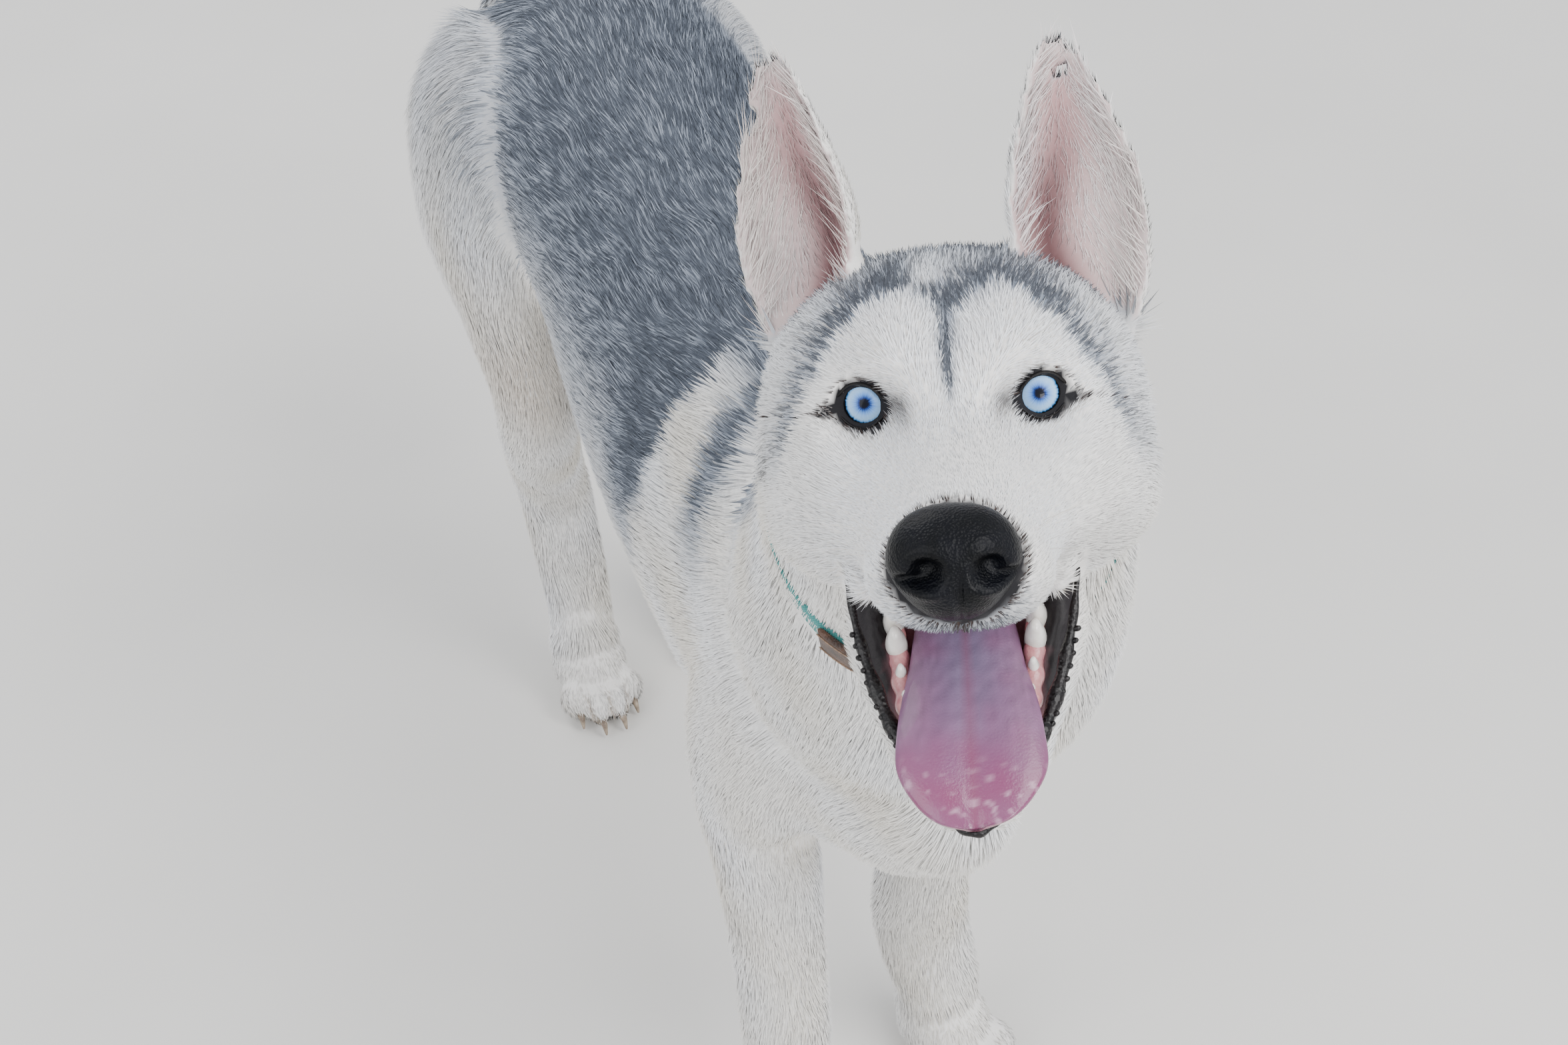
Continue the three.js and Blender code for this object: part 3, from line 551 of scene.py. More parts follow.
@dataclass(frozen=True)
class Limb:
    """A part of the body round a bent axis.

    rows: centre, half width, half depth and coat depth. axis: which coordinate tells the place along it,
    or -1 where the nearest point of the axis does. power: how squared its section is.
    """

    rows: tuple
    axis: int = -1
    power: float = 0.94

    @classmethod
    def of(cls, rows: Sequence[Sequence[float]], axis: int = -1) -> "Limb":
        """A limb from its table."""
        return cls(tuple(map(tuple, rows)), axis)

    def frame(self, places: Array) -> tuple[Array, Array, Array, Array, Array]:
        """Centre, run, side and front vectors, and the whole row, at places along the limb.

        Args:
            places: fractional row numbers.
        Returns:
            The five arrays, one row for each place.
        """
        row = along(self.rows, places)
        last = len(self.rows) - 1
        ahead = along(self.rows, np.minimum(places + 0.05, last))[..., :3]
        behind = along(self.rows, np.maximum(places - 0.05, 0))[..., :3]
        run = unit(ahead - behind)
        side = np.zeros_like(run)
        side[..., 0] = 1
        side = unit(side - run[..., :1] * run)
        return row[..., :3], run, side, np.cross(run, side), row

    def body(self, sides: int, steps: int, bare: bool = True) -> Shape:
        """The limb's body: its skin, or the outside of its coat where bare is false.

        Args:
            sides: corners of each section.
            steps: sections for each row of its table.
            bare: whether the coat is left off.
        Returns:
            The closed body.
        """
        places = np.linspace(0, len(self.rows) - 1, (len(self.rows) - 1) * steps + 1)
        centre, _, side, front, row = self.frame(places)
        turn = circle(sides)
        c, s = oval(turn, self.power)
        coat = row[:, 5:6] * (SKIN_SHARE if bare else 0.0)
        wide, deep = row[:, 3:4] - coat, row[:, 4:5] - coat
        rings = centre[:, None] + side[:, None] * (wide * c)[..., None]
        return loft(rings + front[:, None] * (deep * s)[..., None])

    def place(self, points: Array) -> Array:
        """The place along the limb nearest to each point.

        Args:
            points: points of the dog's frame, in millimetres.
        Returns:
            A fractional row number for each point.
        """
        fine = np.linspace(0, len(self.rows) - 1, 8 * len(self.rows))
        spine = along(self.rows, fine)[:, :3]
        if self.axis >= 0:
            order = np.argsort(spine[:, self.axis])
            return np.interp(points[:, self.axis], spine[order, self.axis], fine[order])
        best = np.full(len(points), np.inf)
        found = np.zeros(len(points))
        for t, p in zip(fine, spine):
            far = np.sum((points - p) ** 2, 1)
            near = far < best
            best[near] = far[near]
            found[near] = t
        return found

    def about(self, points: Array) -> tuple[Array, Array, Array, Array]:
        """Place along, angle round, distance outside the skin, and run, for each point.

        Args:
            points: points of the dog's frame, in millimetres.
        Returns:
            The four arrays, one row for each point.
        """
        t = self.place(points)
        centre, run, side, front, row = self.frame(t)
        gap = points - centre
        c = dot(gap, side)[:, 0] / row[:, 3]
        s = dot(gap, front)[:, 0] / row[:, 4]
        at_end = (t < 0.01) | (t > len(self.rows) - 1.01)
        beyond = at_end * np.abs(dot(gap, run)[:, 0]) / np.minimum(row[:, 3], row[:, 4])
        radius = np.sqrt(c**2 + s**2 + beyond**2)
        far = (radius - 1) * np.minimum(row[:, 3], row[:, 4]) + row[:, 5] * SKIN_SHARE
        return t, np.arctan2(s, c), far, run


LIMBS = {
    "torso": Limb.of(TORSO, 1),
    "neck": Limb.of(NECK),
    "tail": Limb.of(TAIL),
    "fore_leg_right": Limb.of(FORE_RIGHT, 2),
    "fore_leg_left": Limb.of(FORE_LEFT, 2),
    "hind_leg_right": Limb.of(HIND_RIGHT, 2),
    "hind_leg_left": Limb.of(hind_left_rows(), 2),
}


def face_coat(local: Array) -> Array:
    """Depth of the short coat at points of the head's frame.

    Args:
        local: points of the head's frame.
    Returns:
        Millimetres at each point.
    """
    side, forward, up = np.abs(local[:, 0]), -local[:, 1], local[:, 2]
    muzzle = smooth_step(0, 45, forward)
    cheek = smooth_step(-12, -50, forward) * smooth_step(10, -30, up)
    depth = 4.0 - 2.0 * muzzle + 5.0 * cheek
    eye = np.exp(-(((side - 31) / 15) ** 2 + ((up + 1) / 13) ** 2 + ((forward + 2) / 16) ** 2))
    return depth * (1 - 0.8 * eye)


def face_shaped(points: Array) -> Array:
    """Points of the plain head with the face's swellings and its eye sockets pushed in.

    Args:
        points: points of the head's frame.
    Returns:
        The moved points.
    """
    pushed = points.copy()
    for (x, f, u), radius, (out, ahead, up) in FACE:
        for side in (-1, 1) if x else (1,):
            gap = points - in_head(x * side, f, u)
            near = np.exp(-np.sum(gap**2, -1, keepdims=True) / radius**2)
            pushed += near * np.array([out * side, -ahead, up])
    out = (np.abs(pushed[..., 0]) - SOCKET_OUT) / SOCKET_WIDE
    high = (pushed[..., 2] - SOCKET_UP) / SOCKET_HIGH
    near = np.exp(-((out**2 + high**2) ** 2))
    floor = -(SOCKET_AHEAD + SOCKET_SLOPE * out * SOCKET_WIDE)
    short = np.maximum(0, floor - pushed[..., 1])
    pushed[..., 1] += near * short
    return pushed


class Head:
    """The head, jaw and ears as closed bodies."""

    @staticmethod
    def skull(sides: int = 112, steps: int = 8) -> Shape:
        """The head to its skin, in its own frame.

        Args:
            sides: corners of each section.
            steps: sections for each row of its table.
        Returns:
            The closed body.
        """
        places = np.linspace(0, len(HEAD) - 1, (len(HEAD) - 1) * steps + 1)
        forward, top, bottom, wide, pinch = along(HEAD, places).T[:, :, None]
        middle = bottom + (top - bottom) * 0.46
        c, s = oval(circle(sides)[None, :], 0.86)
        high = np.where(s > 0, top - middle, middle - bottom)
        narrow = 1 - pinch * np.maximum(0, s)

        def rings(coat: Array | float) -> Array:
            """The head's sections under some depth of coat."""
            across = c * narrow * (wide - coat)
            up = middle + s * (high - coat)
            ahead = np.broadcast_to(-forward, across.shape)
            return face_shaped(np.stack([across, ahead, up], -1))

        outer = rings(0.0)
        coat = face_coat(outer.reshape(-1, 3)).reshape(outer.shape[:2])
        skin = rings(coat)
        tip = smooth_step(80, 102, forward)[..., None]
        skin[..., 1:2] += tip * 2.0
        return loft(skin)

    @staticmethod
    def jaw(rows: Sequence[Sequence[float]], grow: float, sides: int = 72, steps: int = 8) -> Shape:
        """A body along the open jaw, in the head's frame.

        Args:
            rows: its table.
            grow: how far it is grown outwards.
            sides: corners of each section.
            steps: sections for each row of its table.
        Returns:
            The closed body.
        """
        places = np.linspace(0, len(rows) - 1, (len(rows) - 1) * steps + 1)
        run, top, bottom, wide = along(rows, places).T[:, :, None]
        c, s = oval(circle(sides)[None, :], 0.85)
        middle = (top + bottom) / 2
        return loft(on_jaw(run, c * (wide + grow), middle + s * ((top - bottom) / 2 + grow)))

    @staticmethod
    def ear_matrix(half: Half) -> Array:
        """An ear's frame in the head's.

        Args:
            half: which of the two.
        Returns:
            The matrix from the ear's frame to the head's.
        """
        side = half.value
        nod = Matrix.Rotation(math.radians(-EAR_NOD), 4, "X")
        lean = Matrix.Rotation(side * math.radians(EAR_LEAN[half]), 4, "Y")
        turn = Matrix.Rotation(side * math.radians(EAR_TURN[half]), 4, "Z")
        at = Matrix.Translation(Vector(in_head(side * EAR_OUT[half], *EAR_AT)))
        return np.array(at @ lean @ nod @ turn)

    @classmethod
    def ear(cls, half: Half, thin: float = 1.2, arc: int = 44, steps: int = 8) -> Shape:
        """An ear's cup with its wall thinned by the coat, in the head's frame.

        Args:
            half: which of the two.
            thin: depth of the coat.
            arc: points round the cup's outside.
            steps: sections for each row of its table.
        Returns:
            The closed body.
        """
        places = np.linspace(0, len(EAR) - 1, (len(EAR) - 1) * steps + 1)
        up, wide, deep, wall, lean = along(EAR, places).T[:, :, None]
        a = np.linspace(0, math.pi, arc)[None, :]
        outer = [lean + (wide - thin) * np.cos(a), (deep - thin) * np.sin(a) ** 0.8]
        b = a[:, ::-1]
        w, d = np.maximum(0.5, wide - wall * 0.6), np.maximum(0.3, deep - wall)
        inner = [lean + (w - thin) * np.cos(b), d * np.sin(b) ** 0.8 - wall * 0.35 + thin * 0.3]
        x = np.concatenate([outer[0], inner[0]], 1) * half.value
        y = np.concatenate([outer[1], inner[1]], 1)
        z = np.broadcast_to(up, x.shape)
        matrix = cls.ear_matrix(half)
        return loft(np.stack([x, y, z], -1) @ matrix[:3, :3].T + matrix[:3, 3])


def paw_matrix(name: str) -> Array:
    """A paw's frame in the dog's.

    Args:
        name: which paw.
    Returns:
        The matrix from the paw's frame to the dog's.
    """
    (x, y), turn, size = PAWS[name]
    at = Matrix.Translation((x, y, 0)) @ Matrix.Rotation(math.radians(turn), 4, "Z")
    return np.array(at @ Matrix.Scale(size, 4))


def paw_shapes(name: str, coat: float = 2.4) -> list[Shape]:
    """The foot and toes of a paw, to the skin.

    Args:
        name: which paw.
        coat: depth of the coat.
    Returns:
        The closed bodies, in the dog's frame.
    """
    matrix = paw_matrix(name)
    foot = ball(np.array([0, 6, 22.0]), (25.5 - coat, 28.5 - coat, 23.3 - coat))
    toes = [
        ball(np.array([out, -ahead, 13.0]), (9.6 - coat * 0.5, long - coat, 14 - coat))
        for out, ahead, long in TOES
    ]
    instep = ball(np.array([0, 12, 37.0]), (21.0, 20.5, 29.0))
    return [s.moved(lambda p: p @ matrix[:3, :3].T + matrix[:3, 3]) for s in [foot, instep, *toes]]


class Placer:
    """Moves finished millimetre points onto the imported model."""

    def __init__(self) -> None:
        """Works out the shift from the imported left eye."""
        low, high = (np.array(corner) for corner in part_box("eye_left"))
        drawn = to_body(in_head(EYE_AT[0], EYE_AT[1], EYE_AT[2]))
        self.shift = (low + high) / 2 / MILLI - drawn
        self.shift[2] = 0.0

    def metres(self, points: Array) -> Array:
        """Points of the dog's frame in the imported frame's metres."""
        return (points + self.shift) * MILLI


def mesh_of(name: str, shape: Shape, placer: Placer) -> Object:
    """A smooth-shaded object from a shape.

    Args:
        name: the piece's name.
        shape: its points and faces.
        placer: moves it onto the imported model.
    Returns:
        The new object, at the origin.
    """
    mesh = bpy.data.meshes.new(name)
    faces = shape.faces
    corners = np.concatenate([f.ravel() for f in faces]).astype(np.int32)
    sizes = np.concatenate([np.full(len(f), f.shape[1]) for f in faces]).astype(np.int32)
    mesh.vertices.add(len(shape.points))
    mesh.vertices.foreach_set("co", placer.metres(shape.points).astype(np.float32).ravel())
    mesh.loops.add(len(corners))
    mesh.loops.foreach_set("vertex_index", corners)
    mesh.polygons.add(len(sizes))
    starts = np.concatenate([[0], np.cumsum(sizes)[:-1]]).astype(np.int32)
    mesh.polygons.foreach_set("loop_start", starts)
    mesh.polygons.foreach_set("use_smooth", np.ones(len(sizes), bool))
    mesh.update(calc_edges=True)
    mesh.validate()
    piece = bpy.data.objects.new(name, mesh)
    bpy.context.scene.collection.objects.link(piece)
    return piece


def vertices_of(mesh: Mesh) -> Array:
    """A mesh's vertices, one row each, in metres.

    Args:
        mesh: the mesh.
    Returns:
        The vertices.
    """
    points = np.empty(len(mesh.vertices) * 3, np.float32)
    mesh.vertices.foreach_get("co", points)
    return points.reshape(-1, 3)


def triangles_of(mesh: Mesh) -> Array:
    """The corners of a mesh's triangles, one row each.

    Args:
        mesh: the mesh.
    Returns:
        The corners.
    """
    mesh.calc_loop_triangles()
    corners = np.empty(len(mesh.loop_triangles) * 3, np.int32)
    mesh.loop_triangles.foreach_get("vertices", corners)
    return corners.reshape(-1, 3)


def apply_modifiers(piece: Object) -> None:
    """Turns an object with live modifiers into its plain evaluated mesh.

    Args:
        piece: the object.
    """
    graph = bpy.context.evaluated_depsgraph_get()
    mesh = bpy.data.meshes.new_from_object(piece.evaluated_get(graph))
    piece.modifiers.clear()
    piece.data = mesh


def set_colour(piece: Object, name: str, colours: Array) -> None:
    """Writes linear colours, one for each vertex, as an attribute.

    Args:
        piece: the object.
        name: the attribute's name.
        colours: one linear colour for each vertex.
    """
    layer = piece.data.attributes.new(name, "FLOAT_COLOR", "POINT")
    rgba = np.ones((len(colours), 4), np.float32)
    rgba[:, :3] = colours
    layer.data.foreach_set("color", rgba.ravel())


def srgb(code: str) -> tuple[float, float, float]:
    """An sRGB hex colour as linear numbers."""
    parts = [int(code[i : i + 2], 16) / 255 for i in (0, 2, 4)]
    return tuple(c / 12.92 if c <= 0.04045 else ((c + 0.055) / 1.055) ** 2.4 for c in parts)


def add_node(tree: NodeTree, kind: str, values: dict | None = None, **settings) -> Node:
    """Adds a node to a tree.

    Args:
        tree: the tree.
        kind: the node's type name.
        values: for each input's name or number, a value or an output to link from.
        settings: properties of the node.
    Returns:
        The new node.
    """
    node = tree.nodes.new(kind)
    for key, value in settings.items():
        setattr(node, key, value)
    for key, value in (values or {}).items():
        socket = node.inputs[key]
        if isinstance(value, NodeSocket):
            tree.links.new(value, socket)
        elif isinstance(value, tuple) and len(value) == 3 and socket.type == "RGBA":
            socket.default_value = (*value, 1.0)
        else:
            socket.default_value = value
    return node


@dataclass(frozen=True)
class Finish:
    """What every finish states: its roughness, its sheen and the grain of its bump, in millimetres."""

    name: str
    roughness: float
    specular: float = 0.5
    coat: float = 0.0
    grain: float = 0.6
    height: float = 0.1

    def start(self) -> tuple[Material, NodeTree, Node, Node]:
        """A material with its shader and Object coordinates.

        Returns:
            The material, its tree, its shader and its texture coordinates.
        """
        material = bpy.data.materials.new(self.name)
        material.use_nodes = True
        tree = material.node_tree
        tree.nodes.clear()
        values = {
            "Roughness": self.roughness,
            "Specular IOR Level": self.specular,
            "Coat Weight": self.coat,
            "Coat Roughness": 0.08,
        }
        shader = add_node(tree, "ShaderNodeBsdfPrincipled", values)
        output = add_node(tree, "ShaderNodeOutputMaterial")
        tree.links.new(shader.outputs[0], output.inputs["Surface"])
        return material, tree, shader, add_node(tree, "ShaderNodeTexCoord")

    def bump(self, tree: NodeTree, shader: Node, source: NodeSocket) -> None:
        """Bumps the surface by a pattern's output.

        Args:
            tree: the node tree.
            shader: the shader.
            source: the pattern's output.
        """
        values = {"Strength": self.height, "Distance": self.grain * MILLI, "Height": source}
        node = add_node(tree, "ShaderNodeBump", values)
        tree.links.new(node.outputs["Normal"], shader.inputs["Normal"])


@dataclass(frozen=True)
class Hair(Finish):
    """Dog's hair: a matt keratin that takes its colour from the coat's markings."""

    def make(self) -> Material:
        """The coat's material: marking colour with a fine mottle between hairs.

        Returns:
            The material.
        """
        material, tree, shader, place = self.start()
        marking = add_node(tree, "ShaderNodeAttribute", attribute_name="Marking")
        noise = add_node(
            tree,
            "ShaderNodeTexNoise",
            {"Vector": place.outputs["Object"], "Scale": 1 / (2.5 * MILLI), "Detail": 2.0},
        )
        shade = add_node(
            tree,
            "ShaderNodeMapRange",
            {"Value": noise.outputs[0], "From Min": 0.3, "From Max": 0.7, "To Min": 0.9, "To Max": 1.08},
        )
        colour = add_node(
            tree,
            "ShaderNodeVectorMath",
            {0: marking.outputs["Color"], 1: shade.outputs[0]},
            operation="MULTIPLY",
        )
        tree.links.new(colour.outputs[0], shader.inputs["Base Color"])
        self.bump(tree, shader, noise.outputs["Fac"])
        return material


@dataclass(frozen=True)
class Marked(Finish):
    """Bare or thinly haired skin: marking colour over pores."""

    def make(self) -> Material:
        """The skin's material, wet where the Wet attribute says so.

        Returns:
            The material.
        """
        material, tree, shader, place = self.start()
        marking = add_node(tree, "ShaderNodeAttribute", attribute_name="Marking")
        wet = add_node(tree, "ShaderNodeAttribute", attribute_name="Wet")
        noise = add_node(
            tree,
            "ShaderNodeTexNoise",
            {"Vector": place.outputs["Object"], "Scale": 1 / (self.grain * 3 * MILLI), "Detail": 3.0},
        )
        rough = add_node(
            tree,
            "ShaderNodeMapRange",
            {"Value": wet.outputs["Fac"], "To Min": self.roughness, "To Max": 0.25},
        )
        tree.links.new(rough.outputs[0], shader.inputs["Roughness"])
        tree.links.new(marking.outputs["Color"], shader.inputs["Base Color"])
        self.bump(tree, shader, noise.outputs["Fac"])
        return material


@dataclass(frozen=True)
class Moist(Finish):
    """Moist bare skin in two tones over a cell pattern, as on a nose, tongue or lip."""

    tones: tuple[str, str] = ("101012", "26262a")
    blotch: float = 6.0

    def make(self) -> Material:
        """Two tones in soft blotches, with pebbles or papillae as bump.

        Returns:
            The material.
        """
        material, tree, shader, place = self.start()
        spot = place.outputs["Object"]
        blotch = add_node(
            tree, "ShaderNodeTexNoise", {"Vector": spot, "Scale": 1 / (self.blotch * MILLI), "Detail": 3.0}
        )
        ramp = add_node(tree, "ShaderNodeValToRGB", {"Fac": blotch.outputs["Fac"]})
        for element, tone, at in zip(ramp.color_ramp.elements, self.tones, (0.35, 0.68)):
            element.color = (*srgb(tone), 1.0)
            element.position = at
        cells = add_node(
            tree, "ShaderNodeTexVoronoi", {"Vector": spot, "Scale": 1 / (self.grain * MILLI)}, feature="F1"
        )
        tree.links.new(ramp.outputs["Color"], shader.inputs["Base Color"])
        self.bump(tree, shader, cells.outputs["Distance"])
        return material


@dataclass(frozen=True)
class Iris(Finish):
    """A pale blue eye: fibres run from a dark pupil to a dark ring, under a wet clear surface."""

    def make(self) -> Material:
        """Colours by the angle from the gaze, which the Iris UV map holds in radians.

        Returns:
            The material.
        """
        material, tree, shader, _ = self.start()
        place = add_node(tree, "ShaderNodeUVMap", uv_map="Iris")
        radius = add_node(tree, "ShaderNodeVectorMath", {0: place.outputs["UV"]}, operation="LENGTH")
        spoke = add_node(tree, "ShaderNodeVectorMath", {0: place.outputs["UV"]}, operation="NORMALIZE")
        wide = add_node(
            tree, "ShaderNodeVectorMath", {0: spoke.outputs[0], "Scale": 9.0}, operation="SCALE"
        )
        fibres = add_node(
            tree, "ShaderNodeTexNoise", {"Vector": wide.outputs[0], "Scale": 1.0, "Detail": 3.0}
        )
        values = {"Value": fibres.outputs[0], "From Min": 0.25, "From Max": 0.75}
        values.update({"To Min": -0.05, "To Max": 0.05})
        shift = add_node(tree, "ShaderNodeMapRange", values)
        moved = add_node(
            tree, "ShaderNodeMath", {0: radius.outputs["Value"], 1: shift.outputs[0]}, operation="ADD"
        )
        ramp = add_node(tree, "ShaderNodeValToRGB", {"Fac": moved.outputs[0]})
        stops = [
            (0.0, "03040a"),
            (0.15, "050a1e"),
            (0.21, "24438a"),
            (0.31, "5f8fd2"),
            (0.45, "8fbaea"),
            (0.60, "a3cbf0"),
            (0.69, "6fa6dc"),
            (0.75, "1d4f7d"),
            (0.79, "07080b"),
        ]
        elements = ramp.color_ramp.elements
        while len(elements) < len(stops):
            elements.new(0.5)
        for element, (at, tone) in zip(elements, stops):
            element.position = at
            element.color = (*srgb(tone), 1.0)
        tree.links.new(ramp.outputs["Color"], shader.inputs["Base Color"])
        return material


@dataclass(frozen=True)
class Webbing(Finish):
    """Woven polyester band: a plain weave of threads about a millimetre apart, with a worn edge."""

    tones: tuple[str, str] = ("2f7473", "5fa6a2")

    def make(self) -> Material:
        """Threads from two crossed waves over the band's own UV map.

        Returns:
            The material.
        """
        material, tree, shader, _ = self.start()
        place = add_node(tree, "ShaderNodeUVMap", uv_map="Band")
        split = add_node(tree, "ShaderNodeSeparateXYZ", {0: place.outputs["UV"]})
        waves = []
        for axis in ("X", "Y"):
            turn = add_node(
                tree, "ShaderNodeMath", {0: split.outputs[axis], 1: 2 * math.pi / 1.1}, operation="MULTIPLY"
            )
            waves.append(add_node(tree, "ShaderNodeMath", {0: turn.outputs[0]}, operation="SINE"))
        weave = add_node(
            tree, "ShaderNodeMath", {0: waves[0].outputs[0], 1: waves[1].outputs[0]}, operation="MULTIPLY"
        )
        level = add_node(
            tree, "ShaderNodeMapRange", {"Value": weave.outputs[0], "From Min": -1.0, "From Max": 1.0}
        )
        ramp = add_node(tree, "ShaderNodeValToRGB", {"Fac": level.outputs[0]})
        for element, tone in zip(ramp.color_ramp.elements, self.tones):
            element.color = (*srgb(tone), 1.0)
        tree.links.new(ramp.outputs["Color"], shader.inputs["Base Color"])
        self.bump(tree, shader, level.outputs[0])
        return material


@dataclass(frozen=True)
class Plain(Finish):
    """One tone with a slight drift, for a studio floor, a bristle or a thread."""

    tone: str = "d9d8d5"
    drift: float = 0.03
    patch: float = 300.0

    def make(self) -> Material:
        """Object noise drifts the tone a little lighter and darker.

        Returns:
            The material.
        """
        material, tree, shader, place = self.start()
        values = {"Vector": place.outputs["Object"], "Scale": 1 / (self.patch * MILLI), "Detail": 3.0}
        noise = add_node(tree, "ShaderNodeTexNoise", values)
        ramp = add_node(tree, "ShaderNodeValToRGB", {"Fac": noise.outputs["Fac"]})
        base = srgb(self.tone)
        for element, way, at in zip(ramp.color_ramp.elements, (-1, 1), (0.3, 0.7)):
            element.color = (*(min(1.0, c * (1 + way * self.drift)) for c in base), 1.0)
            element.position = at
        tree.links.new(ramp.outputs["Color"], shader.inputs["Base Color"])
        self.bump(tree, shader, noise.outputs["Fac"])
        return material


FINISHES = {
    # Guard hair of dog: keratin scales scatter the light, so it is soft and matt with a faint gleam
    "hair": Hair("coat_hair", roughness=0.78, specular=0.25, grain=0.5, height=0.25),
    # Thin-haired skin: dry and matt, with pores drawn about twice as coarse as real ones so that they show
    "skin": Marked("thin_haired_skin", roughness=0.75, specular=0.3, grain=0.5, height=0.3),
    # Nose leather: thick damp skin in pebbles a millimetre wide, which break its gleam into grains
    "nose": Moist(
        "nose_leather", roughness=0.42, specular=0.12, coat=0.06, grain=1.0, height=0.4,
        tones=("030406", "090a10"), blotch=9.0,
    ),
    # Lip skin: black, smooth and wet, with a narrow bright gleam along its edge
    "lip": Moist(
        "lip_skin", roughness=0.36, specular=0.3, coat=0.12, grain=1.4, height=0.3,
        tones=("070506", "161112"), blotch=4.0,
    ),
    # Lid rim: black bare skin that is only just damp, so the eye looks lined and not shiny round its edge
    "lid": Moist(
        "lid_rim", roughness=0.55, specular=0.25, coat=0.04, grain=0.7, height=0.2,
        tones=("060506", "100c0b"), blotch=3.0,
    ),
    # Tongue flesh: fine papillae under a film of saliva, a velvet surface with a soft wide gleam
    "tongue": Marked("tongue_flesh", roughness=0.5, coat=0.22, grain=0.32, height=0.55),
    # Gum flesh: smooth and wet, so its ridge catches a clear highlight
    "gum": Moist(
        "gum_flesh", roughness=0.3, coat=0.4, grain=1.0, height=0.15,
        tones=("b5747a", "cc9291"), blotch=4.0,
    ),
    # Tooth enamel: glassy over ivory, yellower in patches
    "tooth": Moist(
        "tooth_enamel", roughness=0.22, coat=0.5, grain=2.0, height=0.05,
        tones=("dcd7cf", "f2f0ec"), blotch=7.0,
    ),
    # Claw horn: worn keratin in layers, with a dull gleam and brown streaks
    "claw": Moist(
        "claw_horn", roughness=0.38, coat=0.2, grain=1.2, height=0.15,
        tones=("6b5a4c", "a89884"), blotch=5.0,
    ),
    # Eye: a clear wet cornea over the iris, kept soft so that the pupil stays dark
    "eye": Iris("blue_eye", roughness=0.35, specular=0.1, coat=0.22),
    # Polyester webbing: dull dyed threads with a visible plain weave
    "webbing": Webbing("teal_webbing", roughness=0.75, specular=0.3, grain=0.4, height=0.5),
    # Studio floor: matt painted board without any gleam
    "floor": Plain("studio_floor", roughness=0.9, specular=0.1, tone="dedcd8"),
    # Whisker: a pale, stiff and rather shiny bristle
    "whisker": Plain("whisker_bristle", roughness=0.4, tone="d9d5cd", drift=0.15, patch=20.0),
    # Waxed thread: light brown and slightly shiny against the leather
    "thread": Plain("waxed_thread", roughness=0.6, tone="8d7460", drift=0.15, patch=3.0),
    # Brown leather: oiled and worn, with pores a millimetre apart
    "leather": Moist(
        "brown_leather", roughness=0.5, coat=0.05, grain=1.1, height=0.4,
        tones=("2e1f18", "573b2b"), blotch=5.0,
    ),
}
MADE: dict[str, Material] = {}


def finish(name: str) -> Material:
    """The material of a finish, made once.

    Args:
        name: the finish's key.
    Returns:
        The material.
    """
    if name not in MADE:
        MADE[name] = FINISHES[name].make()
    return MADE[name]


def dressed(piece: Object, finish_name: str, nodes: Sequence[str] = ()) -> None:
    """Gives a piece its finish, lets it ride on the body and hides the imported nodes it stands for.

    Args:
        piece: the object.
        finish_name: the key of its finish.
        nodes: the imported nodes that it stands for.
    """
    piece.data.materials.clear()
    piece.data.materials.append(finish(finish_name))
    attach(piece, "root")
    if nodes:
        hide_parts(*nodes)
    piece.data.calc_loop_triangles()
    LOG.info("%s: %d triangles", piece.name, len(piece.data.loop_triangles))


class Region(Enum):
    """The parts of the body that hold a patch of the coat's unwrap, with their corner and size in it."""

    TORSO = (0.01, 0.01, 0.40, 0.44)
    NECK = (0.43, 0.01, 0.26, 0.44)
    HEAD = (0.01, 0.47, 0.40, 0.50)
    JAW = (0.43, 0.47, 0.12, 0.24)
    EAR_RIGHT = (0.57, 0.47, 0.12, 0.24)
    EAR_LEFT = (0.57, 0.73, 0.12, 0.24)
    TAIL = (0.43, 0.73, 0.12, 0.24)
    FORE_LEG_RIGHT = (0.71, 0.01, 0.13, 0.30)
    FORE_LEG_LEFT = (0.86, 0.01, 0.13, 0.30)
    HIND_LEG_RIGHT = (0.71, 0.33, 0.13, 0.40)
    HIND_LEG_LEFT = (0.86, 0.33, 0.13, 0.40)
    PAWS = (0.71, 0.75, 0.28, 0.22)


REGIONS = list(Region)
EARS = (Region.EAR_RIGHT, Region.EAR_LEFT)
HIND_LEGS = (Region.HIND_LEG_RIGHT, Region.HIND_LEG_LEFT)


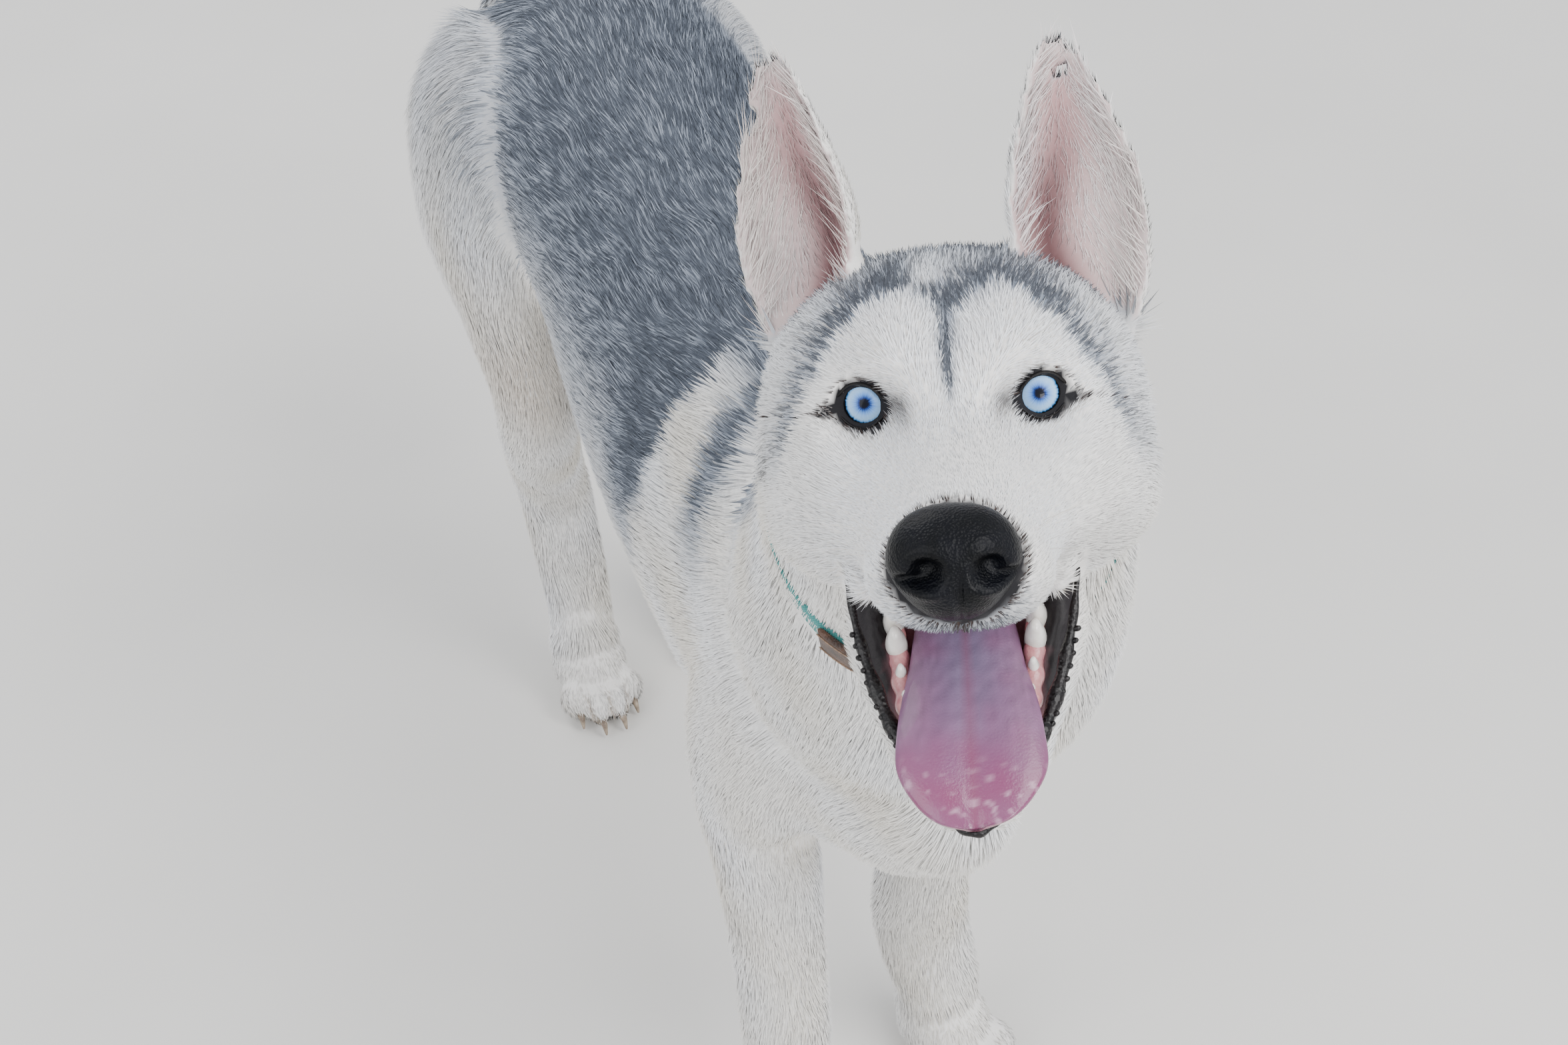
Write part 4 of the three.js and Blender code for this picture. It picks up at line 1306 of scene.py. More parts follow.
@dataclass
class Places:
    """What the markings and the coat need to know of points on the skin, one row for each.

    points and normals are in the dog's frame, local in the head's; region is the number of the nearest
    part; t and turn are the place along it and the angle round it; lie is the way the hair lies, and far
    the distance outside each part.
    """

    points: Array
    normals: Array
    local: Array
    region: Array
    t: Array
    turn: Array
    lie: Array
    far: dict

    @classmethod
    def of(cls, points: Array, normals: Array) -> "Places":
        """Finds the nearest part of the body for each point, and the lie of the hair there.

        Args:
            points: points of the dog's frame, in millimetres.
            normals: the skin's outward directions.
        Returns:
            What is known of each point.
        """
        local = to_head(points)
        spread = []
        down = np.array([0.0, 0.0, -1.0])
        for region in REGIONS:
            if region.name.lower() in LIMBS:
                t, turn, far, run = LIMBS[region.name.lower()].about(points)
                if region is Region.TORSO:
                    front = smooth_step(30, -90, points[:, 1])[:, None]
                    low = smooth_step(470, 330, points[:, 2])[:, None]
                    run = run + down * (0.25 + 1.2 * front * low)
                elif region is Region.NECK:
                    run = -run + down * 0.15
                elif region is Region.TAIL:
                    out = smooth_step(0, 5, t)[:, None] * 0.25
                    run = run + out * normals
            elif region is Region.HEAD:
                t, turn, far, run = head_about(local)
            elif region is Region.JAW:
                t, turn, far, run = jaw_about(local)
            elif region in (Region.EAR_RIGHT, Region.EAR_LEFT):
                half = Half.RIGHT if region is Region.EAR_RIGHT else Half.LEFT
                t, turn, far, run = ear_about(local, half, normals)
            else:
                t, turn, far, run = paws_about(points)
            spread.append((t, turn, far, run))
        distance = np.stack([s[2] for s in spread], 1)
        nearest = np.argmin(distance, 1)
        pick = np.arange(len(points))
        t = np.stack([s[0] for s in spread], 1)[pick, nearest]
        turn = np.stack([s[1] for s in spread], 1)[pick, nearest]
        soft = np.exp(-(distance - distance.min(1, keepdims=True)) / 9.0)
        lie = sum(soft[:, k, None] * spread[k][3] for k in range(len(REGIONS)))
        lie = unit(lie - dot(lie, normals) * normals)
        far = {region: distance[:, k] for k, region in enumerate(REGIONS)}
        return cls(points, normals, local, nearest, t, turn, lie, far)

    def isin(self, *regions: Region) -> Array:
        """Which points belong to any of some regions."""
        return np.isin(self.region, [REGIONS.index(r) for r in regions])


def head_about(local: Array) -> tuple[Array, Array, Array, Array]:
    """Place along the head, angle, distance outside its coat and lie of the hair.

    Args:
        local: points of the head's frame.
    Returns:
        The four arrays, one row for each point.
    """
    side, forward, up = local[:, 0], -local[:, 1], local[:, 2]
    t = row_at(HEAD, forward)
    _, top, bottom, wide, _ = along(HEAD, t).T
    middle = bottom + (top - bottom) * 0.46
    high = np.where(up > middle, top - middle, middle - bottom)
    c, s = side / wide, (up - middle) / high
    beyond = np.maximum(0, np.maximum(forward - 102, -104 - forward)) / 20
    far = (np.sqrt(c**2 + s**2 + beyond**2) - 1) * np.minimum(wide, high) + face_coat(local)
    cheek = smooth_step(5, -40, forward) * smooth_step(20, -30, up)
    crown = smooth_step(-10, -60, forward) * smooth_step(0, 30, up)
    out = np.sign(side) * smooth_step(6, 40, np.abs(side)) * 0.55
    lie = np.stack([out * (1 - 0.3 * crown), np.full(len(t), 1.0), 0.28 - 1.0 * cheek - 0.2 * crown], 1)
    eye = np.exp(-(((np.abs(side) - 31) / 17) ** 2 + ((up + 1) / 15) ** 2))[:, None]
    away = np.stack([np.sign(side) * (np.abs(side) - 27), 0 * up + 7, up + 1], 1) / 12
    lie = unit(lie) + away * eye * 0.9
    return t, np.arctan2(s, c), far, unit(lie) @ HEAD_FRAME[:3, :3].T


def jaw_about(local: Array) -> tuple[Array, Array, Array, Array]:
    """Place along the lower jaw, angle, distance outside its coat and lie of the hair.

    Args:
        local: points of the head's frame.
    Returns:
        The four arrays, one row for each point.
    """
    run, rise = jaw_place(local)
    t = row_at(JAW, run)
    _, top, bottom, wide = along(JAW, t).T
    middle, high = (top + bottom) / 2, np.maximum(2, (top - bottom) / 2)
    c, s = local[:, 0] / wide, (rise - middle) / high
    beyond = np.maximum(0, np.maximum(run - 134, 8 - run)) / 14
    far = (np.sqrt(c**2 + s**2 + beyond**2) - 1) * np.minimum(wide, high) + JAW_COAT
    back = on_jaw(-1.0, 0.0, 0.0) - on_jaw(0.0, 0.0, 0.0)
    lie = back + np.stack([0.35 * np.sign(local[:, 0]), 0 * t, -0.25 + 0 * t], 1)
    return t, np.arctan2(s, c), far, unit(lie) @ HEAD_FRAME[:3, :3].T


# The middle of an ear's cup, as an angle clear of those of its back
CUP_TURN = 1.5 * math.pi


def ear_about(local: Array, half: Half, normals: Array) -> tuple[Array, Array, Array, Array]:
    """Place up an ear, angle, distance outside its coat and lie of the hair.

    Args:
        local: points of the head's frame.
        half: which of the two.
        normals: the skin's outward directions.
    Returns:
        The four arrays, one row for each point.
    """
    matrix = Head.ear_matrix(half)
    own = (local - matrix[:3, 3]) @ matrix[:3, :3]
    own[:, 0] *= half.value
    t = row_at(EAR, own[:, 2])
    _, wide, deep, _, lean = along(EAR, t).T
    c, s = (own[:, 0] - lean) / wide, own[:, 1] / deep
    front = np.maximum(0, -own[:, 1]) / 10
    beyond = np.maximum(0, own[:, 2] - 85) / 6 + np.maximum(0, -14 - own[:, 2]) / 8
    radius = np.sqrt(c**2 + np.maximum(s, 0) ** 2)
    far = np.maximum(0, radius - 1) * np.minimum(wide, deep) + (front + beyond) * 8
    facing = normals @ HEAD_FRAME[:3, :3] @ matrix[:3, :3]
    facing[:, 0] *= half.value
    cup = (facing[:, 0] * c / wide + facing[:, 1] * np.maximum(s, 0.15) / deep < 0) & (radius < 0.99)
    lie = np.stack([-0.8 * c * cup, -0.2 + 0 * t, 1.0 + 0 * t], 1)
    lie[:, 0] *= half.value
    turn = np.where(cup, CUP_TURN + c, np.arccos(np.clip(c, -1, 1)))
    return t, turn, far, unit(lie) @ matrix[:3, :3].T @ HEAD_FRAME[:3, :3].T


def paws_about(points: Array) -> tuple[Array, Array, Array, Array]:
    """Place on the nearest paw, angle, distance outside it and lie of the hair.

    Args:
        points: points of the dog's frame, in millimetres.
    Returns:
        The four arrays, one row for each point.
    """
    best = np.full(len(points), np.inf)
    t, turn = np.zeros(len(points)), np.zeros(len(points))
    lie = np.zeros((len(points), 3))
    for k, name in enumerate(PAWS):
        matrix = paw_matrix(name)
        size = PAWS[name][2]
        own = (points - matrix[:3, 3]) @ matrix[:3, :3] / size**2
        gap = own - np.array([0, -8.0, 16.0])
        far = (np.linalg.norm(gap / np.array([28, 38, 24.0]), axis=1) - 1) * 24
        near = far < best
        best[near] = far[near]
        t[near] = (k + np.clip((own[near, 1] + 50) / 90, 0, 1) * 0.95) * 2.0
        turn[near] = np.arctan2(own[near, 2] - 12, own[near, 0])
        high = smooth_step(12, 34, own[near, 2])[:, None]
        way = np.array([0.0, -1.0, -0.35]) * (1 - high) + np.array([0.0, -0.15, -1.0]) * high
        lie[near] = unit(way @ matrix[:3, :3].T)
    return t, turn, best, lie


WHITE, CREAM, UNDER = srgb("f5f6f8"), srgb("ebe6dc"), srgb("eeebe6")
SLATE, SILVER, LILAC = srgb("2b313b"), srgb("aab2bf"), srgb("dcd9dc")
MID_GREY, COAL = srgb("7f8896"), srgb("2a2a2e")
# The ear cups' greyish pink is partly their own pink and partly painted shade of the hollow cup
SOOT, UMBER, BLUSH_AND_CUP_SHADE = srgb("131216"), srgb("40332e"), srgb("b38c8c")
TAN, STIFLE_AT = srgb("c2ab8d"), np.array([-93.0, 352.0, 338.0])
MAUVE = srgb("5c3d3f")
MOUTH_DARK, MOUTH_PINK = srgb("161013"), srgb("a06a72")
# The edge of the grey cap over the face: sideways, and how high it shows over the eyes
CAP_EDGE = np.array(
    [(0, 31), (8, 34), (17, 40), (27, 36), (37, 28), (44, 18), (52, 5), (58, -9), (64, -30), (90, -60)],
    float,
)


def blend(a: Array, b: Array | tuple, share: Array) -> Array:
    """Colours a turned towards b by a share for each point."""
    return a + (np.asarray(b) - a) * np.clip(share, 0, 1)[:, None]


def grey_share(places: Places) -> Array:
    """How grey the coat is, from 0 for white to 1 for the darkest of the saddle.

    Args:
        places: the points on the skin.
    Returns:
        A share for each point.
    """
    x, y, z = places.points.T
    side, forward, up = np.abs(places.local[:, 0]), -places.local[:, 1], places.local[:, 2]
    wander = ripple(places.points, 38, 3)
    fine = ripple(places.points, 9, 4)

    rear_edge = 60 + (540 - z) * 0.33 + wander * 5
    front_edge = 44 + wander * 3
    stripe_at = 29 + wander * 3
    flank = np.clip((z - 415) / 140, -1, 1)
    saddle = smooth_step(rear_edge - 6, rear_edge + 10, y) * smooth_step(-0.62, -0.1, flank + wander * 0.12)
    saddle *= 0.42 + 0.54 * smooth_step(-0.1, 0.9, flank)
    saddle += 0.36 * np.exp(-(((y - rear_edge - 22) / 24) ** 2)) * smooth_step(-0.3, 0.3, flank)
    stripe = np.exp(-(((y - stripe_at) / 12) ** 2)) * smooth_step(425, 500, z)
    torso = np.where(y > front_edge, saddle, stripe * 0.9)
    top = smooth_step(515, 552, z) * smooth_step(-60, 40, y)
    torso = np.maximum(torso, top * 0.85 * smooth_step(58, 22, np.abs(x)))
    torso *= 1 - 0.62 * smooth_step(320, 450, y) * smooth_step(25, 75, np.abs(x))

    nape = smooth_step(0.35, 0.85, np.sin(places.turn) + wander * 0.1) * 0.85
    nape = np.maximum(nape, stripe * 0.8 * smooth_step(-0.4, 0.3, np.sin(places.turn)))

    thigh = torso * smooth_step(385, 500, z + wander * 8)
    tail = smooth_step(-0.35, 0.35, np.sin(places.turn) * -1 + wander * 0.2) * 0.55
    tail = np.maximum(tail, 0.8 * smooth_step(5.2, 6.4, places.t))

    height = 0.97 * up - 0.24 * np.minimum(forward, 60)
    edge = np.interp(side, CAP_EDGE[:, 0], CAP_EDGE[:, 1])
    over = height - edge + fine * 2.2
    rim = np.exp(-(((over - 4.5) / 6.5) ** 2))
    beyond = smooth_step(34, 10, over)
    cap = smooth_step(-1.0, 2.5, over) * (0.2 + 0.34 * beyond) + 0.42 * rim * smooth_step(72, 30, side)
    crown = smooth_step(-22, -60, forward) * smooth_step(0, 28, up)
    cap = np.maximum(cap, crown * 0.8)
    cap *= smooth_step(-34, -4, height + 40 * crown)
    nest = np.exp(-(((side - 40) / 8) ** 2 + ((forward + 52) / 9) ** 2)) * smooth_step(20, 40, up)
    cap = np.maximum(cap, 0.85 * nest)
    patch = np.exp(-(((places.local[:, 0] - 9) / 8) ** 2 + ((height - 40) / 8) ** 2))
    cap = np.maximum(cap, 0.62 * patch)
    light = np.exp(-(((places.local[:, 0] + 8) / 6) ** 2 + ((height - 44) / 7) ** 2))
    cap *= 1 - 0.75 * light
    line_wide = 2.0 + 0.1 * np.maximum(0, height) + 0.6 * fine
    line = np.exp(-(((places.local[:, 0] + 0.5) / line_wide) ** 2)) * smooth_step(-9, 4, height)
    line *= smooth_step(42, 32, height) * (forward > -60)
    freckle = 0.28 * smooth_step(0.25, 0.7, ripple(places.points, 7, 8))
    freckle = freckle * np.exp(-((places.local[:, 0] / 10) ** 2 + ((height + 17) / 11) ** 2))
    chin_grey = 0.62 * np.exp(-((side / 23) ** 4)) * smooth_step(-38, -48, up)
    chin_grey = chin_grey * smooth_step(64, 82, forward)
    head = np.maximum.reduce([cap, 0.85 * line, freckle, chin_grey])

    ear = places.isin(*EARS)
    back = (places.turn > 0) & (places.turn < math.pi)
    ear_grey = 0.6 * smooth_step(0.7, 0.95, np.sin(places.turn)) * back

    grey = np.zeros(len(x))
    grey = np.where(places.isin(Region.TORSO), torso, grey)
    grey = np.where(places.isin(Region.NECK), nape, grey)
    grey = np.where(places.isin(*HIND_LEGS), thigh, grey)
    grey = np.where(places.isin(Region.TAIL), tail, grey)
    grey = np.where(places.isin(Region.HEAD), head, grey)
    grey = np.where(ear, ear_grey, grey)
    return np.clip(grey, 0, 1)


def toe_gaps(points: Array) -> Array:
    """1 in the stained hair between the toes and 0 elsewhere.

    Args:
        points: points of the dog's frame, in millimetres.
    Returns:
        A share for each point.
    """
    share = np.zeros(len(points))
    middles = [(a[0] + b[0]) / 2 for a, b in zip(TOES, TOES[1:])]
    for name in PAWS:
        matrix = paw_matrix(name)
        own = (points - matrix[:3, 3]) @ matrix[:3, :3] / PAWS[name][2] ** 2
        ahead = smooth_step(-16, -26, own[:, 1]) * smooth_step(30, 18, own[:, 2]) * (own[:, 1] > -60)
        for middle in middles:
            share = np.maximum(share, np.exp(-(((own[:, 0] - middle) / 2.0) ** 2)) * ahead)
    return share


def mouth_share(local: Array) -> Array:
    """1 at points of the head's frame that lie in the open mouth.

    Args:
        local: points of the head's frame.
    Returns:
        Whether each point lies there.
    """
    palate = Limb.of(PALATE, 1)
    upper = palate.about(local)[2]
    run, rise = jaw_place(local)
    t = row_at(JAW_HOLLOW, run)
    _, top, bottom, wide = along(JAW_HOLLOW, t).T
    c, s = local[:, 0] / wide, (rise - (top + bottom) / 2) / ((top - bottom) / 2)
    lower = (np.sqrt(c**2 + s**2) - 1) * wide
    lower += 100.0 * ((run < 30) | (run > 124) | (rise > 24))
    edge = np.array(LIP, float)
    lip_run, lip_rise = jaw_place(np.stack([edge[:, 0], -edge[:, 1], edge[:, 2]], 1))
    order = np.argsort(lip_run)
    lip_wide = np.interp(run, lip_run[order], edge[order, 0])
    lip_high = np.interp(run, lip_run[order], lip_rise[order])
    within = (np.abs(local[:, 0]) < lip_wide + 0.5) & (rise > lip_high - 16) & (rise < lip_high + 9)
    within &= (run > lip_run.min() - 6) & (run < lip_run.max() + 1)
    near = np.stack([np.abs(local[:, 0]), local[:, 1], local[:, 2]], 1)
    closed = np.linalg.norm((near - CORNER) / (CORNER_SIZE + 1.2), axis=1) < 1
    closed &= (near[:, 0] > 28) & (near[:, 0] < 40)
    return (((upper < 2.2) & (local[:, 2] > -100)) | (lower < 1.6) | within) & ~closed


def eye_gap(local: Array) -> Array:
    """How far points of the head's frame are from an eye's opening, as a share of the lid's size.

    Args:
        local: points of the head's frame.
    Returns:
        A share for each point, 1 at the opening's edge.
    """
    side, up = np.abs(local[:, 0]) - EYE_AT[0] - 2.0, local[:, 2] - EYE_AT[2]
    near = -local[:, 1] > -24
    gap = np.hypot(side / (LID_HALF_WIDTH + 1.5), up / (LID_HALF_HEIGHT + 1.5))
    return np.where(near, gap, 9.0)


def dark_share(local: Array) -> Array:
    """How black the hair and skin are round the eyes and nose, for points of the head's frame.

    Args:
        local: points of the head's frame.
    Returns:
        A share for each point.
    """
    side, forward, up = np.abs(local[:, 0]), -local[:, 1], local[:, 2]
    rim = smooth_step(1.14, 1.03, eye_gap(local))
    inner = np.exp(-(((side - 18.5) / 5.0) ** 2 + (up / 5.4) ** 2)) * smooth_step(11, 16, side) * 0.85
    half = np.maximum(0.2, (50.0 - side) * 0.72)
    centre = -0.26 * (side - 38)
    wedge = smooth_step(0.05, 0.4, 1 - np.abs(up - centre) / half) * (side > 36)
    eye = np.maximum(rim, np.maximum(inner, wedge)) * (forward > -34)
    gap = np.linalg.norm((local - NOSE_AT * np.array([1, -1, 1])) / NOSE_SIZE, axis=1)
    split = np.exp(-((local[:, 0] / 2.6) ** 2)) * (up < -48) * (forward > 80)
    return np.maximum(eye, np.maximum(smooth_step(1.17, 1.05, gap), split))


def skin_colours(places: Places) -> tuple[Array, Array]:
    """The skin's colour and wetness at each point.

    Args:
        places: the points on the skin.
    Returns:
        Linear colours, and shares of wetness.
    """
    grey = grey_share(places)
    colour = np.tile(np.array(UNDER), (len(grey), 1))
    colour = blend(colour, LILAC, 0.2 + 0.1 * ripple(places.points, 30, 5))
    colour = blend(colour, MID_GREY, grey * 1.1)
    ear = places.isin(*EARS)
    cup = ear & (places.turn > math.pi)
    across = places.turn - CUP_TURN + 0.42 * smooth_step(4.6, 1.8, places.t)
    flush = np.exp(-((across / 0.62) ** 2)) * smooth_step(7.6, 5.0, places.t)
    core = np.exp(-((across / 0.32) ** 2)) * smooth_step(5.4, 2.4, places.t)
    # Painted shade and pink: the whole cup is turned at least half way to a greyish pink that is partly the
    # skin's own pink and partly painted shade of the hollow. The flush down its middle is pink skin
    inside = blend(blend(colour, BLUSH_AND_CUP_SHADE, 0.5 + 0.5 * flush), MAUVE, core)
    colour = np.where(cup[:, None], inside, colour)
    colour = blend(colour, SOOT, dark_share(places.local))
    mouth = mouth_share(places.local)
    pink = smooth_step(0.2, 0.8, ripple(places.points, 16, 6) * 0.5 + 0.5)
    near_lip = smooth_step(24, 31, np.abs(places.local[:, 0])) + smooth_step(-66, -58, places.local[:, 2])
    inner = blend(np.tile(np.array(MOUTH_PINK), (len(grey), 1)), MOUTH_DARK, 0.35 - 0.3 * pink + near_lip)
    colour = np.where(mouth[:, None], inner, colour)
    return colour, np.where(mouth, 0.6, 0.0)


def collar_place(points: Array) -> tuple[Array, Array]:
    """Place across the collar's band, positive towards the head, and angle round the neck.

    Args:
        points: points of the dog's frame, in millimetres.
    Returns:
        Millimetres and radians for each point.
    """
    spot = np.full(len(points), COLLAR_ROW)
    centre, run, side, front, _ = LIMBS["neck"].frame(spot)
    gap = points - centre
    drop = (points[:, 1] - centre[:, 1]) * math.sin(COLLAR_TILT)
    turn = np.arctan2(dot(gap, front)[:, 0], dot(gap, side)[:, 0])
    return dot(gap, run)[:, 0] - drop, turn % (2 * math.pi)


class Skin:
    """One skin over all the flesh: closed bodies joined, remeshed and smoothed."""

    # Millimetres: the size of the remeshed faces, and the least height of the soles over the floor
    VOXEL = 3.65
    SOLE = 0.4
    # Within this distance of the head's middle, and below this height, the skin is hardly smoothed
    FACE_REACH = 135
    PAW_TOP = 56
    # Heights between which the limbs join the trunk, and how far back they do
    JOIN_LOW, JOIN_HIGH, JOIN_BACK = 370, 590, 500
    # Rounds of smoothing
    FACE_ROUNDS, LIMB_ROUNDS, JOIN_ROUNDS = 3, 12, 40
    NODES = (
        *LIMBS,
        *("head", "lower_jaw", "ear_right", "ear_left"),
        *(f"{name.split('_')[0]}_paw_{name.split('_')[1]}" for name in PAWS),
    )

    def __init__(self, placer: Placer) -> None:
        """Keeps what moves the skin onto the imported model."""
        self.placer = placer

    def hollowed(self, name: str, body: Shape, hollow: Shape) -> Shape:
        """A body less a hollow, both in the head's frame.

        Args:
            name: the piece's name.
            body: the body.
            hollow: the hollow.
        Returns:
            What is left, as triangles.
        """
        piece = mesh_of(name, body, self.placer)
        cutter = mesh_of(name + "_cutter", hollow, self.placer)
        cut = piece.modifiers.new("cut", "BOOLEAN")
        cut.operation = "DIFFERENCE"
        cut.solver = "MANIFOLD"
        cut.object = cutter
        apply_modifiers(piece)
        points, triangles = vertices_of(piece.data), triangles_of(piece.data)
        bpy.data.objects.remove(cutter)
        bpy.data.objects.remove(piece)
        return Shape(points / MILLI - self.placer.shift, [triangles])

    def bodies(self) -> Shape:
        """Every part of the flesh to its skin, in the dog's frame.

        Returns:
            The bodies as one shape.
        """
        palate = Limb.of(PALATE, 1).body(40, 6, bare=False)
        skull = self.hollowed("skull", Head.skull(), palate).moved(to_body)
        jaw = self.hollowed("jaw", Head.jaw(JAW, -JAW_COAT), Head.jaw(JAW_HOLLOW, 0.0)).moved(to_body)
        ears = [Head.ear(half).moved(to_body) for half in Half]
        limbs = [limb.body(64, 8) for limb in LIMBS.values()]
        paws = [shape for name in PAWS for shape in paw_shapes(name)]
        folds = [ball(CORNER * np.array([side, 1, 1]), CORNER_SIZE).moved(to_body) for side in (-1, 1)]
        return joined([skull, jaw, *ears, *limbs, *paws, *folds])

    def eased(self, skin: Object) -> None:
        """Smooths the skin: a little on the face and paws, and well where the limbs meet the trunk.

        Args:
            skin: the skin's object.
        """
        points = vertices_of(skin.data) / MILLI - self.placer.shift
        height = points[:, 2]
        fine = (np.linalg.norm(points - HEAD_AT, axis=1) < self.FACE_REACH) | (height < self.PAW_TOP)
        join = ~fine & (height > self.JOIN_LOW) & (height < self.JOIN_HIGH) & (points[:, 1] < self.JOIN_BACK)
        for name, chosen, rounds in (
            ("face", fine, self.FACE_ROUNDS),
            ("limbs", ~fine & ~join, self.LIMB_ROUNDS),
            ("joins", join, self.JOIN_ROUNDS),
        ):
            group = skin.vertex_groups.new(name=name)
            group.add(np.flatnonzero(chosen).tolist(), 1.0, "REPLACE")
            ease = skin.modifiers.new(name, "SMOOTH")
            ease.factor = 0.5
            ease.iterations = rounds
            ease.vertex_group = name
        apply_modifiers(skin)
        skin.vertex_groups.clear()

    def make(self) -> Object:
        """Builds the skin, colours it and lets it stand for the flesh nodes.

        Returns:
            The skin's object.
        """
        skin = mesh_of("skin", self.bodies(), self.placer)
        melt = skin.modifiers.new("melt", "REMESH")
        melt.mode = "VOXEL"
        melt.voxel_size = self.VOXEL * MILLI
        melt.use_smooth_shade = True
        apply_modifiers(skin)
        self.eased(skin)
        mesh = skin.data
        points = vertices_of(mesh).astype(float)
        points[:, 2] = np.maximum(points[:, 2], self.SOLE * MILLI)
        mesh.vertices.foreach_set("co", points.astype(np.float32).ravel())
        mesh.update()
        normals = np.empty(len(mesh.vertices) * 3, np.float32)
        mesh.vertex_normals.foreach_get("vector", normals)
        self.points = points / MILLI - self.placer.shift
        self.normals = normals.reshape(-1, 3).astype(float)
        places = Places.of(self.points, self.normals)
        colours, wet = skin_colours(places)
        set_colour(skin, "Marking", colours)
        layer = mesh.attributes.new("Wet", "FLOAT", "POINT")
        layer.data.foreach_set("value", wet.astype(np.float32))
        self.triangles = triangles_of(mesh)
        dressed(skin, "skin", self.NODES)
        return skin


class Fur:
    """The coat: thin closed tufts of hair, rooted in the skin and bent along its lie."""

    # The most triangles in one piece, and the rings of each tuft where it has more than one
    LIMIT = 190000
    RINGS = {"coat_tail": 3}
    # Millimetres: the height under which the soles stay bare, and the half of the neck's bare strip
    # under the collar
    SOLE_BARE = 2.5
    STRIP_BARE = 9.5

    def __init__(self, skin: Skin, placer: Placer, seed: int = 7) -> None:
        """Keeps the skin and starts the seeded draw.

        Args:
            skin: the skin that it grows on.
            placer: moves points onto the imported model.
            seed: starts its draw.
        """
        self.skin = skin
        self.placer = placer
        self.random = np.random.default_rng(seed)

    def amounts(self, places: Places) -> dict[str, Array]:
        """Spacing, length, width, rise, sway and clump of the hair at each point.

        Args:
            places: the points on the skin.
        Returns:
            Each size by its name, one number for each point.
        """
        forward, up = -places.local[:, 1], places.local[:, 2]
        kinds = {
            "TORSO": (3.5, 16.0, 1.6, 2.5, 0.12, 0.16),
            "NECK": (2.9, 20.0, 1.6, 3.0, 0.12, 0.16),
            "HEAD": (1.5, 6.6, 0.9, 1.5, 0.2, 0.1),
            "JAW": (1.6, 6.0, 0.85, 1.2, 0.2, 0.1),
            "EAR": (1.9, 5.5, 0.75, 1.0, 0.2, 0.1),
            "TAIL": (7.0, 48.0, 2.6, 11.0, 0.25, 0.4),
            "FORE_LEG": (3.8, 11.0, 1.3, 2.0, 0.15, 0.1),
            "HIND_LEG": (3.4, 12.5, 1.4, 2.0, 0.14, 0.15),
            "PAWS": (3.2, 7.0, 1.1, 1.3, 0.2, 0.1),
        }
        names = (region.name.replace("_RIGHT", "").replace("_LEFT", "") for region in REGIONS)
        table = np.array([kinds[name] for name in names])
        soft = np.stack([np.exp(-np.maximum(0, places.far[r]) / 6.0 - 3.0 * (places.region != k))
                         for k, r in enumerate(REGIONS)], 1)
        soft /= soft.sum(1, keepdims=True)
        amount = dict(zip(("spacing", "long", "wide", "rise", "sway", "clump"), (soft @ table).T))
        head = places.isin(Region.HEAD)
        muzzle = head * smooth_step(5, 50, forward)
        cheek = head * smooth_step(-14, -50, forward) * smooth_step(8, -30, up)
        crown = head * smooth_step(-20, -60, forward)
        amount["long"] *= 1 - 0.35 * muzzle + 2.0 * cheek + 0.8 * crown
        amount["rise"] *= 1 - 0.4 * muzzle + 4.0 * cheek + 1.0 * crown
        amount["wide"] *= 1 - 0.15 * muzzle + 0.6 * cheek + 0.2 * crown
        amount["spacing"] *= 1 - 0.2 * muzzle + 0.5 * cheek + 0.2 * crown
        eye = np.exp(-((eye_gap(places.local) - 1) / 0.9) ** 2)
        amount["long"] *= 1 - 0.45 * eye
        amount["rise"] *= 1 - 0.25 * eye
        amount["wide"] *= 1 - 0.25 * eye
        amount["spacing"] *= 1 - 0.35 * eye
        hind = places.isin(*HIND_LEGS)
        back = smooth_step(0.1, 0.9, -np.sin(places.turn)) * smooth_step(4.6, 2.5, places.t) * hind
        amount["long"] *= 1 + 1.2 * back
        amount["rise"] *= 1 + 1.2 * back
        tail = places.isin(Region.TAIL)
        root = smooth_step(1.6, 0.2, places.t) * tail
        tip = smooth_step(6.0, 7.0, places.t) * tail
        amount["long"] *= 1 - 0.45 * root - 0.45 * tip
        amount["rise"] *= 1 - 0.6 * root - 0.5 * tip
        cup = places.isin(*EARS) & (places.turn > math.pi)
        edge = smooth_step(0.3, 0.8, np.abs(places.turn - CUP_TURN))
        amount["long"] = np.where(cup, 8.0 + 9.0 * edge, amount["long"])
        amount["spacing"] = np.where(cup, 4.4 - 1.6 * edge, amount["spacing"])
        amount["rise"] = np.where(cup, 1.4 + 1.6 * edge, amount["rise"])
        amount["wide"] = np.where(cup, 0.6, amount["wide"])
        across, turn = collar_place(places.points)
        window = np.exp(-(((turn - KEEPER_TURN) / KEEPER_SPREAD) ** 2)) * (across > 0) * (across < 45)
        window = window * places.isin(Region.NECK, Region.JAW, Region.HEAD)
        above = places.isin(Region.NECK) * smooth_step(8, 12, across) * smooth_step(34, 24, across)
        above = above * (1 - window)
        amount["long"] *= 1 + 0.3 * above
        amount["rise"] *= 1 + 0.5 * above
        amount["long"] *= 1 - 0.6 * window
        amount["rise"] *= 1 - 0.7 * window
        return amount

